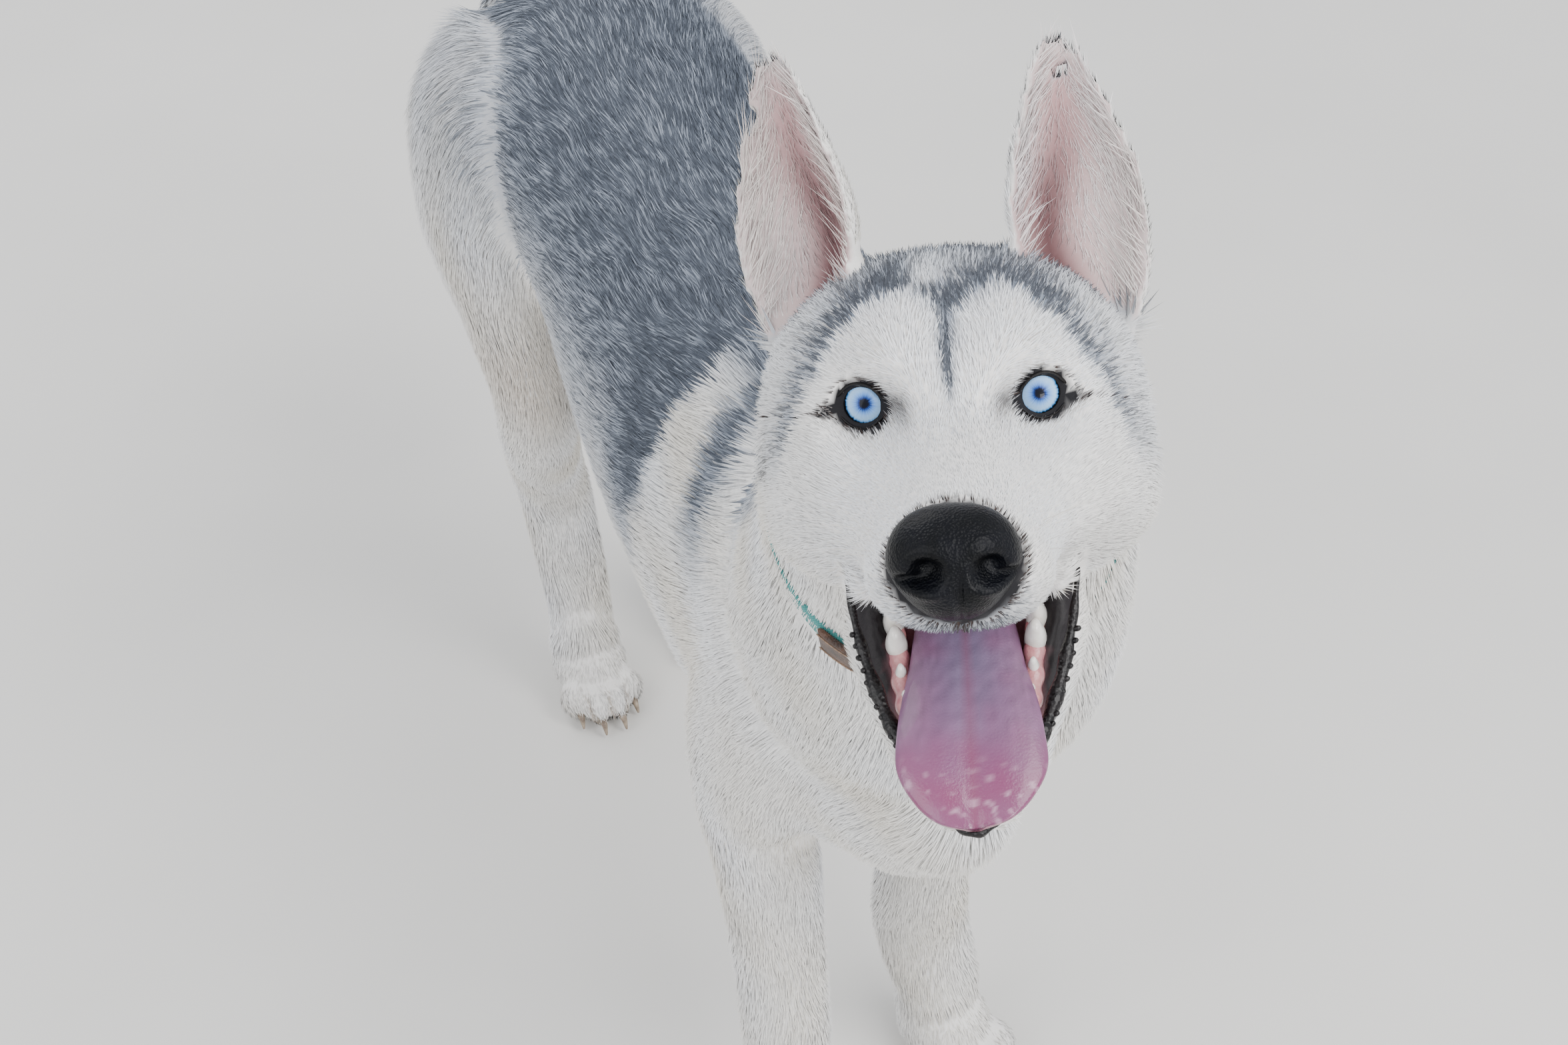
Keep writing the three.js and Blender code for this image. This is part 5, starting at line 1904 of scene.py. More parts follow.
    def roots(self) -> tuple[Array, Array]:
        """Draws the points that tufts grow from, more of them where the coat is fine.

        Returns:
            The points and their normals.
        """
        corners = self.skin.points[self.skin.triangles]
        first, second = corners[:, 1] - corners[:, 0], corners[:, 2] - corners[:, 0]
        areas = np.linalg.norm(np.cross(first, second), axis=1) / 2
        centres = corners.mean(1)
        normals = unit(self.skin.normals[self.skin.triangles].mean(1))
        places = Places.of(centres, normals)
        amount = self.amounts(places)
        bare = mouth_share(places.local) | (eye_gap(places.local) < 1.0)
        nose = NOSE_AT * np.array([1, -1, 1])
        gap = (places.local - nose) / NOSE_SIZE
        bare |= np.linalg.norm(gap, axis=1) < 1.0
        bare |= centres[:, 2] < self.SOLE_BARE
        across, _ = collar_place(centres)
        bare |= places.isin(Region.NECK) & (np.abs(across) < self.STRIP_BARE)
        weight = np.where(bare, 0, areas / amount["spacing"])
        total = np.cumsum(weight)
        count = int(total[-1])
        chosen = np.searchsorted(total, np.arange(count) + self.random.uniform(0, 1, count))
        chosen = np.minimum(chosen, len(total) - 1)
        u, v = self.random.uniform(size=(2, count))
        flip = u + v > 1
        u, v = np.where(flip, 1 - u, u), np.where(flip, 1 - v, v)
        tri = corners[chosen]
        points = tri[:, 0] + u[:, None] * (tri[:, 1] - tri[:, 0]) + v[:, None] * (tri[:, 2] - tri[:, 0])
        ends = self.skin.normals[self.skin.triangles[chosen]]
        smooth = unit(ends[:, 0] * (1 - u - v)[:, None] + ends[:, 1] * u[:, None] + ends[:, 2] * v[:, None])
        return points, smooth

    def clumped(self, points: Array, tips: Array, clump: Array, spread: float) -> Array:
        """Tips pulled towards the tip of the nearest of some chosen tufts.

        Args:
            points: the roots of some tufts.
            tips: their tips.
            clump: how far each tip is pulled.
            spread: tufts for each chosen one.
        Returns:
            The moved tips.
        """
        count = max(1, int(len(points) / spread))
        guides = self.random.choice(len(points), count, replace=False)
        tree = KDTree(count)
        for k, guide in enumerate(guides):
            tree.insert(points[guide], k)
        tree.balance()
        nearest = np.array([tree.find(p)[1] for p in points])
        return tips + (tips[guides[nearest]] - tips) * clump[:, None]

    def tufts(
        self, places: Places, amount: dict[str, Array], colours: tuple[Array, Array], rings: int
    ) -> dict[str, Array]:
        """Points, normals, colours and unwrap of closed three-sided tufts.

        Args:
            places: the roots.
            amount: their sizes.
            colours: the root and tip colours.
            rings: how many rings each has before its tip.
        Returns:
            Arrays with one row for each tuft.
        """
        count = len(places.points)
        draw = self.random
        sway = draw.normal(size=count) * amount["sway"]
        wave = np.stack([ripple(places.points, 45, 20 + k) for k in range(3)], 1) * 0.22
        lie = unit(places.lie + wave + np.cross(places.normals, places.lie) * sway[:, None] * 0.8)
        lie = unit(lie - dot(lie, places.normals) * places.normals)
        side = np.cross(places.normals, lie)
        long = amount["long"] * draw.uniform(0.8, 1.2, count)
        rise = amount["rise"] * draw.uniform(0.6, 1.4, count)
        wide = amount["wide"] * draw.uniform(0.7, 1.25, count)
        tips = places.points + lie * long[:, None] + places.normals * rise[:, None]
        if (amount["clump"] > 0.15).mean() > 0.5:
            tips = self.clumped(places.points, tips, amount["clump"] * draw.uniform(0.4, 1.2, count), 9.0)
        reach = tips - places.points
        stations = {1: ((0.0, 1.0),), 3: ((0.0, 0.75), (0.33, 1.0), (0.7, 0.62))}[rings]
        layers, shades = [], []
        for s, w in stations:
            lift = places.normals * (rise * (1 - (1 - s) ** 2 - s))[:, None]
            sink = places.normals * (-0.6 * rings * (1 - s) ** 3)
            centre = places.points + reach * s + lift + sink
            half, thick = (wide * w / 2)[:, None], (wide * w * 0.26)[:, None]
            for across, high in ((1.0, -0.35), (0.0, 0.8), (-1.0, -0.35)):
                layers.append(centre + side * across * half + places.normals * high * thick)
                shades.append((s, unit(places.normals + side * across * 0.22)))
        layers.append(tips)
        shades.append((1.0, places.normals))
        points = np.stack(layers, 1)
        points[..., 2] = np.maximum(points[..., 2], 0.5)
        normals = np.stack([n for _, n in shades], 1)
        share = np.array([s for s, _ in shades])[None, :, None]
        root, tip = colours
        tint = root[:, None] + (tip - root)[:, None] * share
        base = self.unwrap(places)
        spot = np.array([(k % 3, k // 3) for k in range(rings * 3 + 1)], float) * (0.003 / 3)
        return {"points": points, "normals": normals, "tint": tint, "unwrap": base[:, None] + spot[None]}

    @staticmethod
    def unwrap(places: Places) -> Array:
        """Each root's place on an unwrap of the skin, part by part: angle round it, and place along it.

        Args:
            places: the points on the skin.
        Returns:
            Two numbers for each root.
        """
        base = np.zeros((len(places.points), 2))
        longest = {Region.PAWS: 8.0}
        for k, region in enumerate(REGIONS):
            x, y, wide, high = region.value
            rows = {
                Region.TORSO: len(TORSO),
                Region.NECK: len(NECK),
                Region.HEAD: len(HEAD),
                Region.JAW: len(JAW),
                Region.TAIL: len(TAIL),
                Region.EAR_RIGHT: len(EAR),
                Region.EAR_LEFT: len(EAR),
            }.get(region, len(HIND_RIGHT))
            mine = places.region == k
            around = np.clip((places.turn[mine] % (2 * math.pi)) / (2 * math.pi), 0, 1)
            up = np.clip(places.t[mine] / longest.get(region, rows - 1), 0, 1)
            base[mine] = np.stack([x + around * (wide - 0.004), y + up * (high - 0.004)], 1)
        return base

    def colours(self, places: Places) -> tuple[Array, Array]:
        """Root and tip colours of each tuft: markings, broken up hair by hair, with painted shade in the ear
        cups.

        Args:
            places: the points on the skin.
        Returns:
            The two linear colours of each tuft.
        """
        count = len(places.points)
        draw = self.random
        grey = grey_share(places)
        streak = ripple(places.points, 14, 31) * 0.34
        pick = draw.uniform(size=count)
        warm = 0.55 + 0.4 * ripple(places.points, 60, 33)
        warm -= 0.5 * places.isin(Region.HEAD) * smooth_step(62, 34, np.abs(places.local[:, 0]))
        white = blend(np.tile(np.array(WHITE), (count, 1)), CREAM, warm)
        white = white * draw.uniform(0.9, 1.04, count)[:, None]
        depth = grey * (1.15 + 0.4 * places.isin(Region.HEAD)) + streak * 0.5 * (grey > 0.08)
        dark_tuft = smooth_step(0.0, 1.0, (depth - pick) * 1.6)
        pale = blend(white, SILVER, grey * 1.3)
        pale = blend(pale, MID_GREY, smooth_step(0.45, 1.0, grey) * 0.55)
        tone = np.array(SLATE) * draw.uniform(0.8, 1.4, count)[:, None]
        faint = smooth_step(0.75, 0.2, grey) * (1 - 0.85 * places.isin(Region.HEAD))
        tone = blend(tone, MID_GREY, faint * 0.85)
        tone = blend(tone, COAL, places.isin(Region.HEAD) * 0.8)
        tip = blend(pale, tone, dark_tuft)
        root = blend(pale * 0.93, tone, dark_tuft * 0.35 + grey * 0.2)
        stain = toe_gaps(places.points)
        root, tip = blend(root, UMBER, stain * 0.75), blend(tip, TAN, stain * 0.8)
        mirrored = places.points * np.array([-1, 1, 1])
        for stifle in (places.points, mirrored):
            near = np.exp(-np.sum((stifle - STIFLE_AT) ** 2, 1) / 42**2)
            root, tip = blend(root, TAN, near * 0.5), blend(tip, TAN, near * 0.4)
        ear = places.isin(*EARS) & (places.turn > math.pi)
        across = places.turn - CUP_TURN + 0.42 * smooth_step(4.6, 1.8, places.t)
        flush = np.exp(-((across / 0.5) ** 2)) * smooth_step(7.2, 4.4, places.t) * ear
        # Painted shade and pink: the share over the whole cup is partly its pink hair and partly painted
        # shade of the hollow. The flush is pink skin showing through
        root = blend(root, BLUSH_AND_CUP_SHADE, 0.35 * ear + flush * 0.65)
        tip = blend(tip, BLUSH_AND_CUP_SHADE, 0.16 * ear + flush * 0.5)
        core = np.exp(-((across / 0.3) ** 2)) * smooth_step(5.2, 2.4, places.t) * ear
        root, tip = blend(root, MAUVE, core), blend(tip, MAUVE, core * 0.75)
        smudge = dark_share(places.local) * draw.uniform(0.7, 1.15, count)
        dark = blend(np.tile(np.array(SOOT), (count, 1)), UMBER, draw.uniform(0, 1, count))
        return blend(root, dark, smudge), blend(tip, dark, smudge)

    def make(self) -> list[Object]:
        """Grows the coat and splits it into pieces.

        Returns:
            The pieces.
        """
        points, normals = self.roots()
        LOG.info("coat: %d tufts", len(points))
        groups = {
            "coat_head": (Region.HEAD, Region.JAW),
            "coat_ears": EARS,
            "coat_neck": (Region.NECK,),
            "coat_torso": (Region.TORSO,),
            "coat_tail": (Region.TAIL,),
            "coat_fore_legs": (Region.FORE_LEG_RIGHT, Region.FORE_LEG_LEFT),
            "coat_hind_legs": HIND_LEGS,
            "coat_paws": (Region.PAWS,),
        }
        whole = Places.of(points, normals)
        pieces = []
        for name, regions in groups.items():
            mine = whole.isin(*regions)
            if not mine.any():
                continue
            places = Places.of(points[mine], normals[mine])
            amount = self.amounts(places)
            rings = self.RINGS.get(name, 1)
            grown = self.tufts(places, amount, self.colours(places), rings)
            each = rings * 6 - 2
            most = self.LIMIT // each
            parts = math.ceil(mine.sum() / most)
            for part in range(parts):
                piece_name = name if parts == 1 else f"{name}_{part + 1}"
                chunk = {key: value[part::parts] for key, value in grown.items()}
                pieces.append(self.piece(piece_name, chunk, rings))
        return pieces

    def piece(self, name: str, grown: dict, rings: int) -> Object:
        """One joined mesh of tufts with its colours, unwrap and soft normals.

        Args:
            name: the piece's name.
            grown: arrays with one row for each tuft.
            rings: rings of each tuft before its tip.
        Returns:
            The piece.
        """
        count, each, _ = grown["points"].shape
        faces = [(0, 2, 1)]
        for r in range(rings - 1):
            for k in range(3):
                a, b = r * 3 + k, r * 3 + (k + 1) % 3
                faces += [(a, b, b + 3), (a, b + 3, a + 3)]
        last = (rings - 1) * 3
        faces += [(last + k, last + (k + 1) % 3, rings * 3) for k in range(3)]
        start = (np.arange(count) * each)[:, None, None]
        triangles = (np.array(faces)[None] + start).reshape(-1, 3)
        first = Shape(grown["points"][0], [np.array(faces)])
        if volume(first) < 0:
            triangles = triangles[:, ::-1]
        piece = mesh_of(name, Shape(grown["points"].reshape(-1, 3), [triangles]), self.placer)
        mesh = piece.data
        set_colour(piece, "Marking", grown["tint"].reshape(-1, 3))
        layer = mesh.uv_layers.new(name="OFBake")
        unwrap = grown["unwrap"].reshape(-1, 2)[triangles.ravel()]
        layer.data.foreach_set("uv", unwrap.astype(np.float32).ravel())
        mesh.normals_split_custom_set_from_vertices(grown["normals"].reshape(-1, 3))
        dressed(piece, "hair")
        return piece


class Kind(Enum):
    """What a row repeats along its path."""

    POINT = "lip_point"
    STITCH = "stitch"


@dataclass
class RowOf:
    """Small shapes repeated at the points of a path by Geometry Nodes; sizes in millimetres."""

    placer: Placer
    kind: Kind
    long: float
    wide: float
    uneven: float = 0.0
    seed: int = 3

    def tree(self, finish_name: str) -> NodeTree:
        """The node tree that instances one shape on every point, aimed by the points' attributes.

        Args:
            finish_name: the key of its finish.
        Returns:
            The tree.
        """
        tree = bpy.data.node_groups.new(self.kind.value + "_row", "GeometryNodeTree")
        tree.interface.new_socket("Geometry", in_out="INPUT", socket_type="NodeSocketGeometry")
        for name in ("Length", "Width", "Unevenness"):
            tree.interface.new_socket(name, in_out="INPUT", socket_type="NodeSocketFloat")
        tree.interface.new_socket("Seed", in_out="INPUT", socket_type="NodeSocketInt")
        tree.interface.new_socket("Geometry", in_out="OUTPUT", socket_type="NodeSocketGeometry")
        given = add_node(tree, "NodeGroupInput")
        segments, rings = (12, 8) if self.kind is Kind.POINT else (10, 6)
        values = {"Segments": segments, "Rings": rings, "Radius": 0.5}
        shape = add_node(tree, "GeometryNodeMeshUVSphere", values)
        aim = add_node(tree, "GeometryNodeInputNamedAttribute", {"Name": "Aim"}, data_type="FLOAT_VECTOR")
        run = add_node(tree, "GeometryNodeInputNamedAttribute", {"Name": "Run"}, data_type="FLOAT_VECTOR")
        stand = add_node(tree, "FunctionNodeAlignRotationToVector", {"Vector": aim.outputs[0]}, axis="Z")
        values = {"Rotation": stand.outputs[0], "Vector": run.outputs[0]}
        turn = add_node(tree, "FunctionNodeAlignRotationToVector", values, axis="X", pivot_axis="Z")
        values = {0: 1.0, 1: given.outputs["Unevenness"]}
        low = add_node(tree, "ShaderNodeMath", values, operation="SUBTRACT")
        high = add_node(tree, "ShaderNodeMath", values, operation="ADD")
        values = {"Min": low.outputs[0], "Max": high.outputs[0], "Seed": given.outputs["Seed"]}
        vary = add_node(tree, "FunctionNodeRandomValue", values, data_type="FLOAT")
        grown = add_node(
            tree, "ShaderNodeMath", {0: given.outputs["Length"], 1: vary.outputs[1]}, operation="MULTIPLY"
        )
        wide, long = given.outputs["Width"], grown.outputs[0]
        first, last = (wide, long) if self.kind is Kind.POINT else (long, wide)
        size = add_node(tree, "ShaderNodeCombineXYZ", {"X": first, "Y": wide, "Z": last})
        values = {
            "Points": given.outputs["Geometry"],
            "Instance": shape.outputs["Mesh"],
            "Rotation": turn.outputs[0],
            "Scale": size.outputs[0],
        }
        rows = add_node(tree, "GeometryNodeInstanceOnPoints", values)
        real = add_node(tree, "GeometryNodeRealizeInstances", {"Geometry": rows.outputs[0]})
        values = {"Geometry": real.outputs[0], "Material": finish(finish_name)}
        made = add_node(tree, "GeometryNodeSetMaterial", values)
        add_node(tree, "NodeGroupOutput", {"Geometry": made.outputs[0]})
        return tree

    def make(self, name: str, points: Array, aims: Array, runs: Array, finish_name: str, slot: str) -> None:
        """Builds the row.

        Args:
            name: the piece's name.
            points: where each one stands, in the dog's frame.
            aims: the way each one points.
            runs: the way the path runs there.
            finish_name: its finish.
            slot: not used.
        """
        mesh = bpy.data.meshes.new(name)
        mesh.from_pydata(self.placer.metres(points).tolist(), [], [])
        for key, values in (("Aim", aims), ("Run", runs)):
            layer = mesh.attributes.new(key, "FLOAT_VECTOR", "POINT")
            layer.data.foreach_set("vector", unit(values).astype(np.float32).ravel())
        piece = bpy.data.objects.new(name, mesh)
        bpy.context.scene.collection.objects.link(piece)
        modifier = piece.modifiers.new("row", "NODES")
        modifier.node_group = self.tree(finish_name)
        sizes = {
            "Length": self.long * MILLI,
            "Width": self.wide * MILLI,
            "Unevenness": self.uneven,
            "Seed": self.seed,
        }
        for item in modifier.node_group.interface.items_tree:
            if item.item_type == "SOCKET" and item.in_out == "INPUT" and item.name in sizes:
                modifier[item.identifier] = sizes[item.name]
        apply_modifiers(piece)
        piece.data.polygons.foreach_set("use_smooth", np.ones(len(piece.data.polygons), bool))
        dressed(piece, finish_name)


@dataclass
class Eyes:
    """The eyeballs and the black rims of their lids."""

    placer: Placer
    rim: float = 1.5
    cornea: float = 0.5
    splay: float = 0.15
    droop: float = 0.08

    def gaze(self, half: Half) -> Array:
        """The way an eye looks, in the head's frame: at the camera.

        Args:
            half: which of the two.
        Returns:
            A unit vector.
        """
        at = in_head(half.value * EYE_AT[0], EYE_AT[1], EYE_AT[2])
        straight = unit(to_head(CAMERA_AT[None])[0] - at)
        return unit(straight + np.array([half.value * self.splay, 0.0, -self.droop]))

    def ball(self, half: Half, sides: int = 64, rows: int = 40) -> None:
        """One eyeball with its bulging cornea, and the map that the iris is drawn on.

        Args:
            half: which of the two.
            sides: corners of each section.
            rows: rings over the cornea.
        """
        at = in_head(half.value * EYE_AT[0], EYE_AT[1], EYE_AT[2])
        front = self.gaze(half)
        across = unit(np.cross(np.array([0.0, 0.0, 1.0]), front))
        above = np.cross(front, across)
        tilt = [np.linspace(0.012, 0.9, rows), np.linspace(0.98, math.pi - 0.05, 18)]
        tilt = np.concatenate(tilt)[:, None]
        turn = circle(sides)[None]
        radius = (EYE_RADIUS - self.cornea) * (1 + 0.05 * np.exp(-((tilt / 0.55) ** 4)))
        rings = at + radius[..., None] * (directions(tilt, turn) @ np.stack([across, above, front]))
        shape = loft(rings).moved(to_body)
        name = "eyeball_" + half.name.lower()
        piece = mesh_of(name, shape, self.placer)
        flat = np.stack([(tilt * np.cos(turn)).ravel(), (tilt * np.sin(turn)).ravel()], 1)
        flat = np.concatenate([flat, [[0.0, 0.0], [math.pi, 0.0]]])
        mesh = piece.data
        corners = np.empty(len(mesh.loops), np.int32)
        mesh.loops.foreach_get("vertex_index", corners)
        layer = mesh.uv_layers.new(name="Iris")
        layer.data.foreach_set("uv", flat[corners].astype(np.float32).ravel())
        dressed(piece, "eye", ("eye_" + half.name.lower(),))

    def lid(self, half: Half, sides: int = 96, section: int = 16) -> None:
        """The rim of one pair of lids: an almond ring, thicker at both corners.

        Args:
            half: which of the two.
            sides: corners of each section.
            section: corners of the rim's section.
        """
        side = half.value
        turn = circle(sides)[:, None]
        around = circle(section)[None]
        c, s = np.cos(turn), np.sin(turn)
        pinch = 1 - 0.24 * np.abs(c) ** 3
        corner = 1 + 0.7 * np.maximum(0, c) ** 8 + 0.3 * np.maximum(0, -c) ** 8
        thick = self.rim * corner
        swell = 1 + thick * np.cos(around) * 0.5 / LID_HALF_WIDTH
        outer = 1 + 0.62 * np.maximum(0, c) ** 12 + 0.24 * np.maximum(0, -c) ** 8
        wide = LID_HALF_WIDTH * 1.04 * c * outer * swell
        high = LID_HALF_HEIGHT * pinch * s * (1 + thick * np.cos(around) * 0.5 / LID_HALF_HEIGHT)
        high = high + 0.3 * c - 0.4 * np.maximum(0, c) ** 6 - 0.6 * np.maximum(0, -c) ** 6
        back = np.sqrt(np.maximum(SOCKET_PLANE**2, EYE_RADIUS**2 - wide**2 * 0.72 - high**2 * 0.72))
        ahead = back + 0.4 + thick * 0.55 * np.sin(around)
        co, si = math.cos(math.radians(EYE_OUTWARD)), math.sin(math.radians(EYE_OUTWARD))
        out = wide * co + ahead * si
        forward = EYE_AT[1] + ahead * co - wide * si
        points = np.stack([side * (EYE_AT[0] + out), -forward, EYE_AT[2] + high + 0 * out], -1)
        ring = [(k, (k + 1) % sides) for k in range(sides)]
        faces = []
        for a, b in ring:
            k = np.arange(section)
            n = (k + 1) % section
            faces.append(np.stack([a * section + k, a * section + n, b * section + n, b * section + k], 1))
        shape = Shape(points.reshape(-1, 3), [np.concatenate(faces)])
        shape = shape if volume(shape) > 0 else Shape(shape.points, [shape.faces[0][:, ::-1]])
        piece = mesh_of("lid_rim_" + half.name.lower(), shape.moved(to_body), self.placer)
        dressed(piece, "lid")

    def make(self) -> None:
        """Builds both eyes."""
        for half in Half:
            self.ball(half)
            self.lid(half)


@dataclass
class Muzzle:
    """The nose leather, tongue, teeth, gums, lips and whiskers."""

    placer: Placer
    tongue_groove: float = 0.7

    def nose(self, sides: int = 128, rows: int = 80) -> None:
        """The nose: a blunt block with comma-shaped nostrils and the groove between them.

        Args:
            sides: corners of each section.
            rows: rings from top to bottom.
        """
        tilt = np.linspace(0.02, math.pi - 0.02, rows)[:, None]
        turn = circle(sides)[None]
        way = directions(tilt, turn)
        x, y, z = np.moveaxis(way, -1, 0)
        x, z = (np.sign(v) * np.abs(v) ** 0.86 for v in (x, z))
        narrow = np.where(z < 0, 1 + 0.3 * z, 1.0)
        at = NOSE_AT * np.array([1, -1, 1])
        points = at + np.stack([x * narrow, y, z], -1) * NOSE_SIZE
        for side in (-1, 1):
            for out, ahead, up, wide, high, deep in (
                (10.5, 15.0, 0.0, 5.0, 4.4, 7.5),
                (16.5, 11.0, -3.0, 5.0, 2.1, 5.0),
                (8.0, 13.0, 9.0, 6.5, 4.0, -1.2),
                (11.0, 14.0, -7.0, 5.0, 2.2, -1.7),
            ):
                hole = in_head(side * out, NOSE_AT[1] + ahead, NOSE_AT[2] + up)
                gap = points - hole
                near = (gap[..., 0] / wide) ** 2 + (gap[..., 2] / high) ** 2 + (gap[..., 1] / 9) ** 2
                near = np.exp(-(near**1.3))
                points = points + near[..., None] * np.array([-side * 0.12, 1.0, 0.15]) * deep
        groove = np.exp(-((points[..., 0] / 1.5) ** 2))
        groove = groove * smooth_step(4, -6, points[..., 2] - NOSE_AT[2])
        groove = groove * smooth_step(0, -8, points[..., 1] + NOSE_AT[1])
        points[..., 1] += groove * 2.4
        piece = mesh_of("nose_leather", loft(points).moved(to_body), self.placer)
        dressed(piece, "nose", ("nose",))

    def tongue(self, sides: int = 72, steps: int = 14) -> None:
        """The tongue, hollowed along its middle and thin at its rim.

        Args:
            sides: corners of each section.
            steps: sections for each row of its table.
        """
        places = np.linspace(0, len(TONGUE) - 1, (len(TONGUE) - 1) * steps + 1)
        run, middle, wide, thick = along(TONGUE, places).T[:, :, None]
        c, s = oval(circle(sides)[None], 0.8)
        upper = np.maximum(0, s)
        groove = -self.tongue_groove * np.exp(-((c * wide / 1.8) ** 2)) * upper
        hollow = -2.2 * np.exp(-((c * wide / 12) ** 2)) * upper * smooth_step(50, 90, run)
        curl = 1.6 * np.abs(c) ** 3 * smooth_step(70, 110, run)
        droop = -0.12 * wide * c * c
        wave = 0.8 * np.sin(run / 7.0 + np.sign(c) * 1.3) * np.abs(c) ** 2 * smooth_step(60, 90, run)
        points = on_jaw(run, c * wide, middle + groove + hollow + curl + droop + wave + s * thick)
        piece = mesh_of("tongue_flesh", loft(points).moved(to_body), self.placer)
        across = np.concatenate([(c * wide + 0 * run).ravel(), [0.0, 0.0]])
        down = np.concatenate([(run + 0 * c).ravel(), run[[0, -1]].ravel()])
        under = np.concatenate([(s + 0 * run).ravel(), [0.0, 0.0]]) < -0.2
        base = np.tile(np.array(srgb("795171")), (len(across), 1))
        spots = np.stack([across, down, 0 * down], 1)
        middle_share = np.exp(-((across / 15) ** 2)) * smooth_step(128, 70, down)
        base = blend(base, srgb("706681"), middle_share * 0.85)
        base = blend(base, srgb("7c385d"), smooth_step(95, 128, down) * 0.75 + 0.14 * ripple(spots, 14, 41))
        grain = ripple(spots * np.array([1, 0.35, 1]), 2.6, 43)
        base = base * (1 + 0.13 * grain * smooth_step(118, 96, down))[:, None]
        base = blend(base, srgb("7c3f57"), np.exp(-((across / 1.1) ** 2)) * 0.4)
        # Painted highlight: pale pink flecks near the tip stand in for the gleam of saliva on the tongue
        painted_highlight_spots = smooth_step(0.45, 0.95, ripple(spots, 5, 42)) * smooth_step(108, 128, down)
        base = blend(base, srgb("d3aec2"), painted_highlight_spots * 0.4)
        set_colour(piece, "Marking", blend(base, srgb("9a5564"), under * 0.6))
        layer = piece.data.attributes.new("Wet", "FLOAT", "POINT")
        layer.data.foreach_set("value", (0.25 + 0.7 * smooth_step(98, 126, down)).astype(np.float32))
        dressed(piece, "tongue", ("tongue",))

    def teeth(self) -> None:
        """The lower cheek teeth, and the upper ones that the open mouth shows."""
        teeth = []
        for side in (-1, 1):
            for run, high, half in LOWER_TEETH:
                out = side * (27.5 - 0.12 * (run - 40))
                t = np.linspace(0, 1, 10)
                path = on_jaw(run + 1.5 * t, out + 0 * t, -6 + t * (high + 6))
                radii = half * (1 - 0.72 * t**2.4)
                teeth.append(tube(path, radii, 20, 0.7, in_head(1.0, 0.0, 0.0)))
            for out, forward, long, half in UPPER_TEETH:
                t = np.linspace(0, 1, 10)
                path = np.stack(
                    [side * out + 0 * t, -(forward - t - 1.5 * t**2), PALATE_TOP + 5 - t * (long + 5)], 1
                )
                radii = half * (1 - 0.84 * t**1.4)
                teeth.append(tube(path, radii, 20, 0.8, in_head(0.0, 1.0, 0.0)))
        piece = mesh_of("teeth", joined(teeth).moved(to_body), self.placer)
        dressed(piece, "tooth")

    def gums(self) -> None:
        """Pink ridges that the lower cheek teeth stand in."""
        ridges = []
        for side in (-1, 1):
            run = np.linspace(44, 92, 40)
            bead = 3.6 + 0.5 * np.sin(run * 0.62)
            bead = bead * smooth_step(42, 48, run) * smooth_step(94, 86, run) + 0.3
            path = on_jaw(run, side * (27.5 - 0.12 * (run - 40)), -1.0 + 0.05 * (run - 60))
            ridges.append(tube(path, bead, 18, 1.0))
        piece = mesh_of("gums", joined(ridges).moved(to_body), self.placer)
        dressed(piece, "gum")

    def lip_path(self, count: int = 120) -> Array:
        """The edge of the lower lip from one corner of the mouth to the other, in the head's frame.

        Args:
            count: how many points it has.
        Returns:
            The points of the path.
        """
        rows = np.array(LIP, float)
        full = np.concatenate([rows, rows[-2::-1] * np.array([-1, 1, 1])])
        line = along(full, np.linspace(0, len(full) - 1, count))
        ahead = on_jaw(2.6, 0.0, -0.4) - on_jaw(0.0, 0.0, 0.0)
        return line * np.array([1, -1, 1]) + ahead * smooth_step(22, 10, np.abs(line[:, :1]))

    def lips(self) -> None:
        """The black lower lip with its row of soft points."""
        path = self.lip_path()
        place = np.linspace(0, 1, len(path))
        end = np.minimum(1, place * 6) * np.minimum(1, (1 - place) * 6)
        slim = 1.7 + 1.0 * smooth_step(10, 26, np.abs(path[:, 0]))
        ripple_height = 1 + 0.18 * np.sin(np.arange(len(path)) * 0.9)
        lip = tube(path, slim * (0.25 + 0.75 * end) * ripple_height, 18)
        piece = mesh_of("lower_lip", lip.moved(to_body), self.placer)
        dressed(piece, "lip")
        chosen = np.concatenate([np.arange(12, 40, 2), np.arange(80, 109, 2)])
        at = path[chosen]
        outward = np.stack([np.sign(at[:, 0]) * 0.9, -0.15 + 0 * at[:, 0], 0.35 + 0 * at[:, 0]], 1)
        run = np.gradient(path, axis=0)[chosen]
        turn = HEAD_FRAME[:3, :3].T
        row = RowOf(self.placer, Kind.POINT, long=2.7, wide=2.3, uneven=0.2)
        row.make("lip_points", to_body(at + outward * 2.5), outward @ turn, run @ turn, "lip", "lip_black")

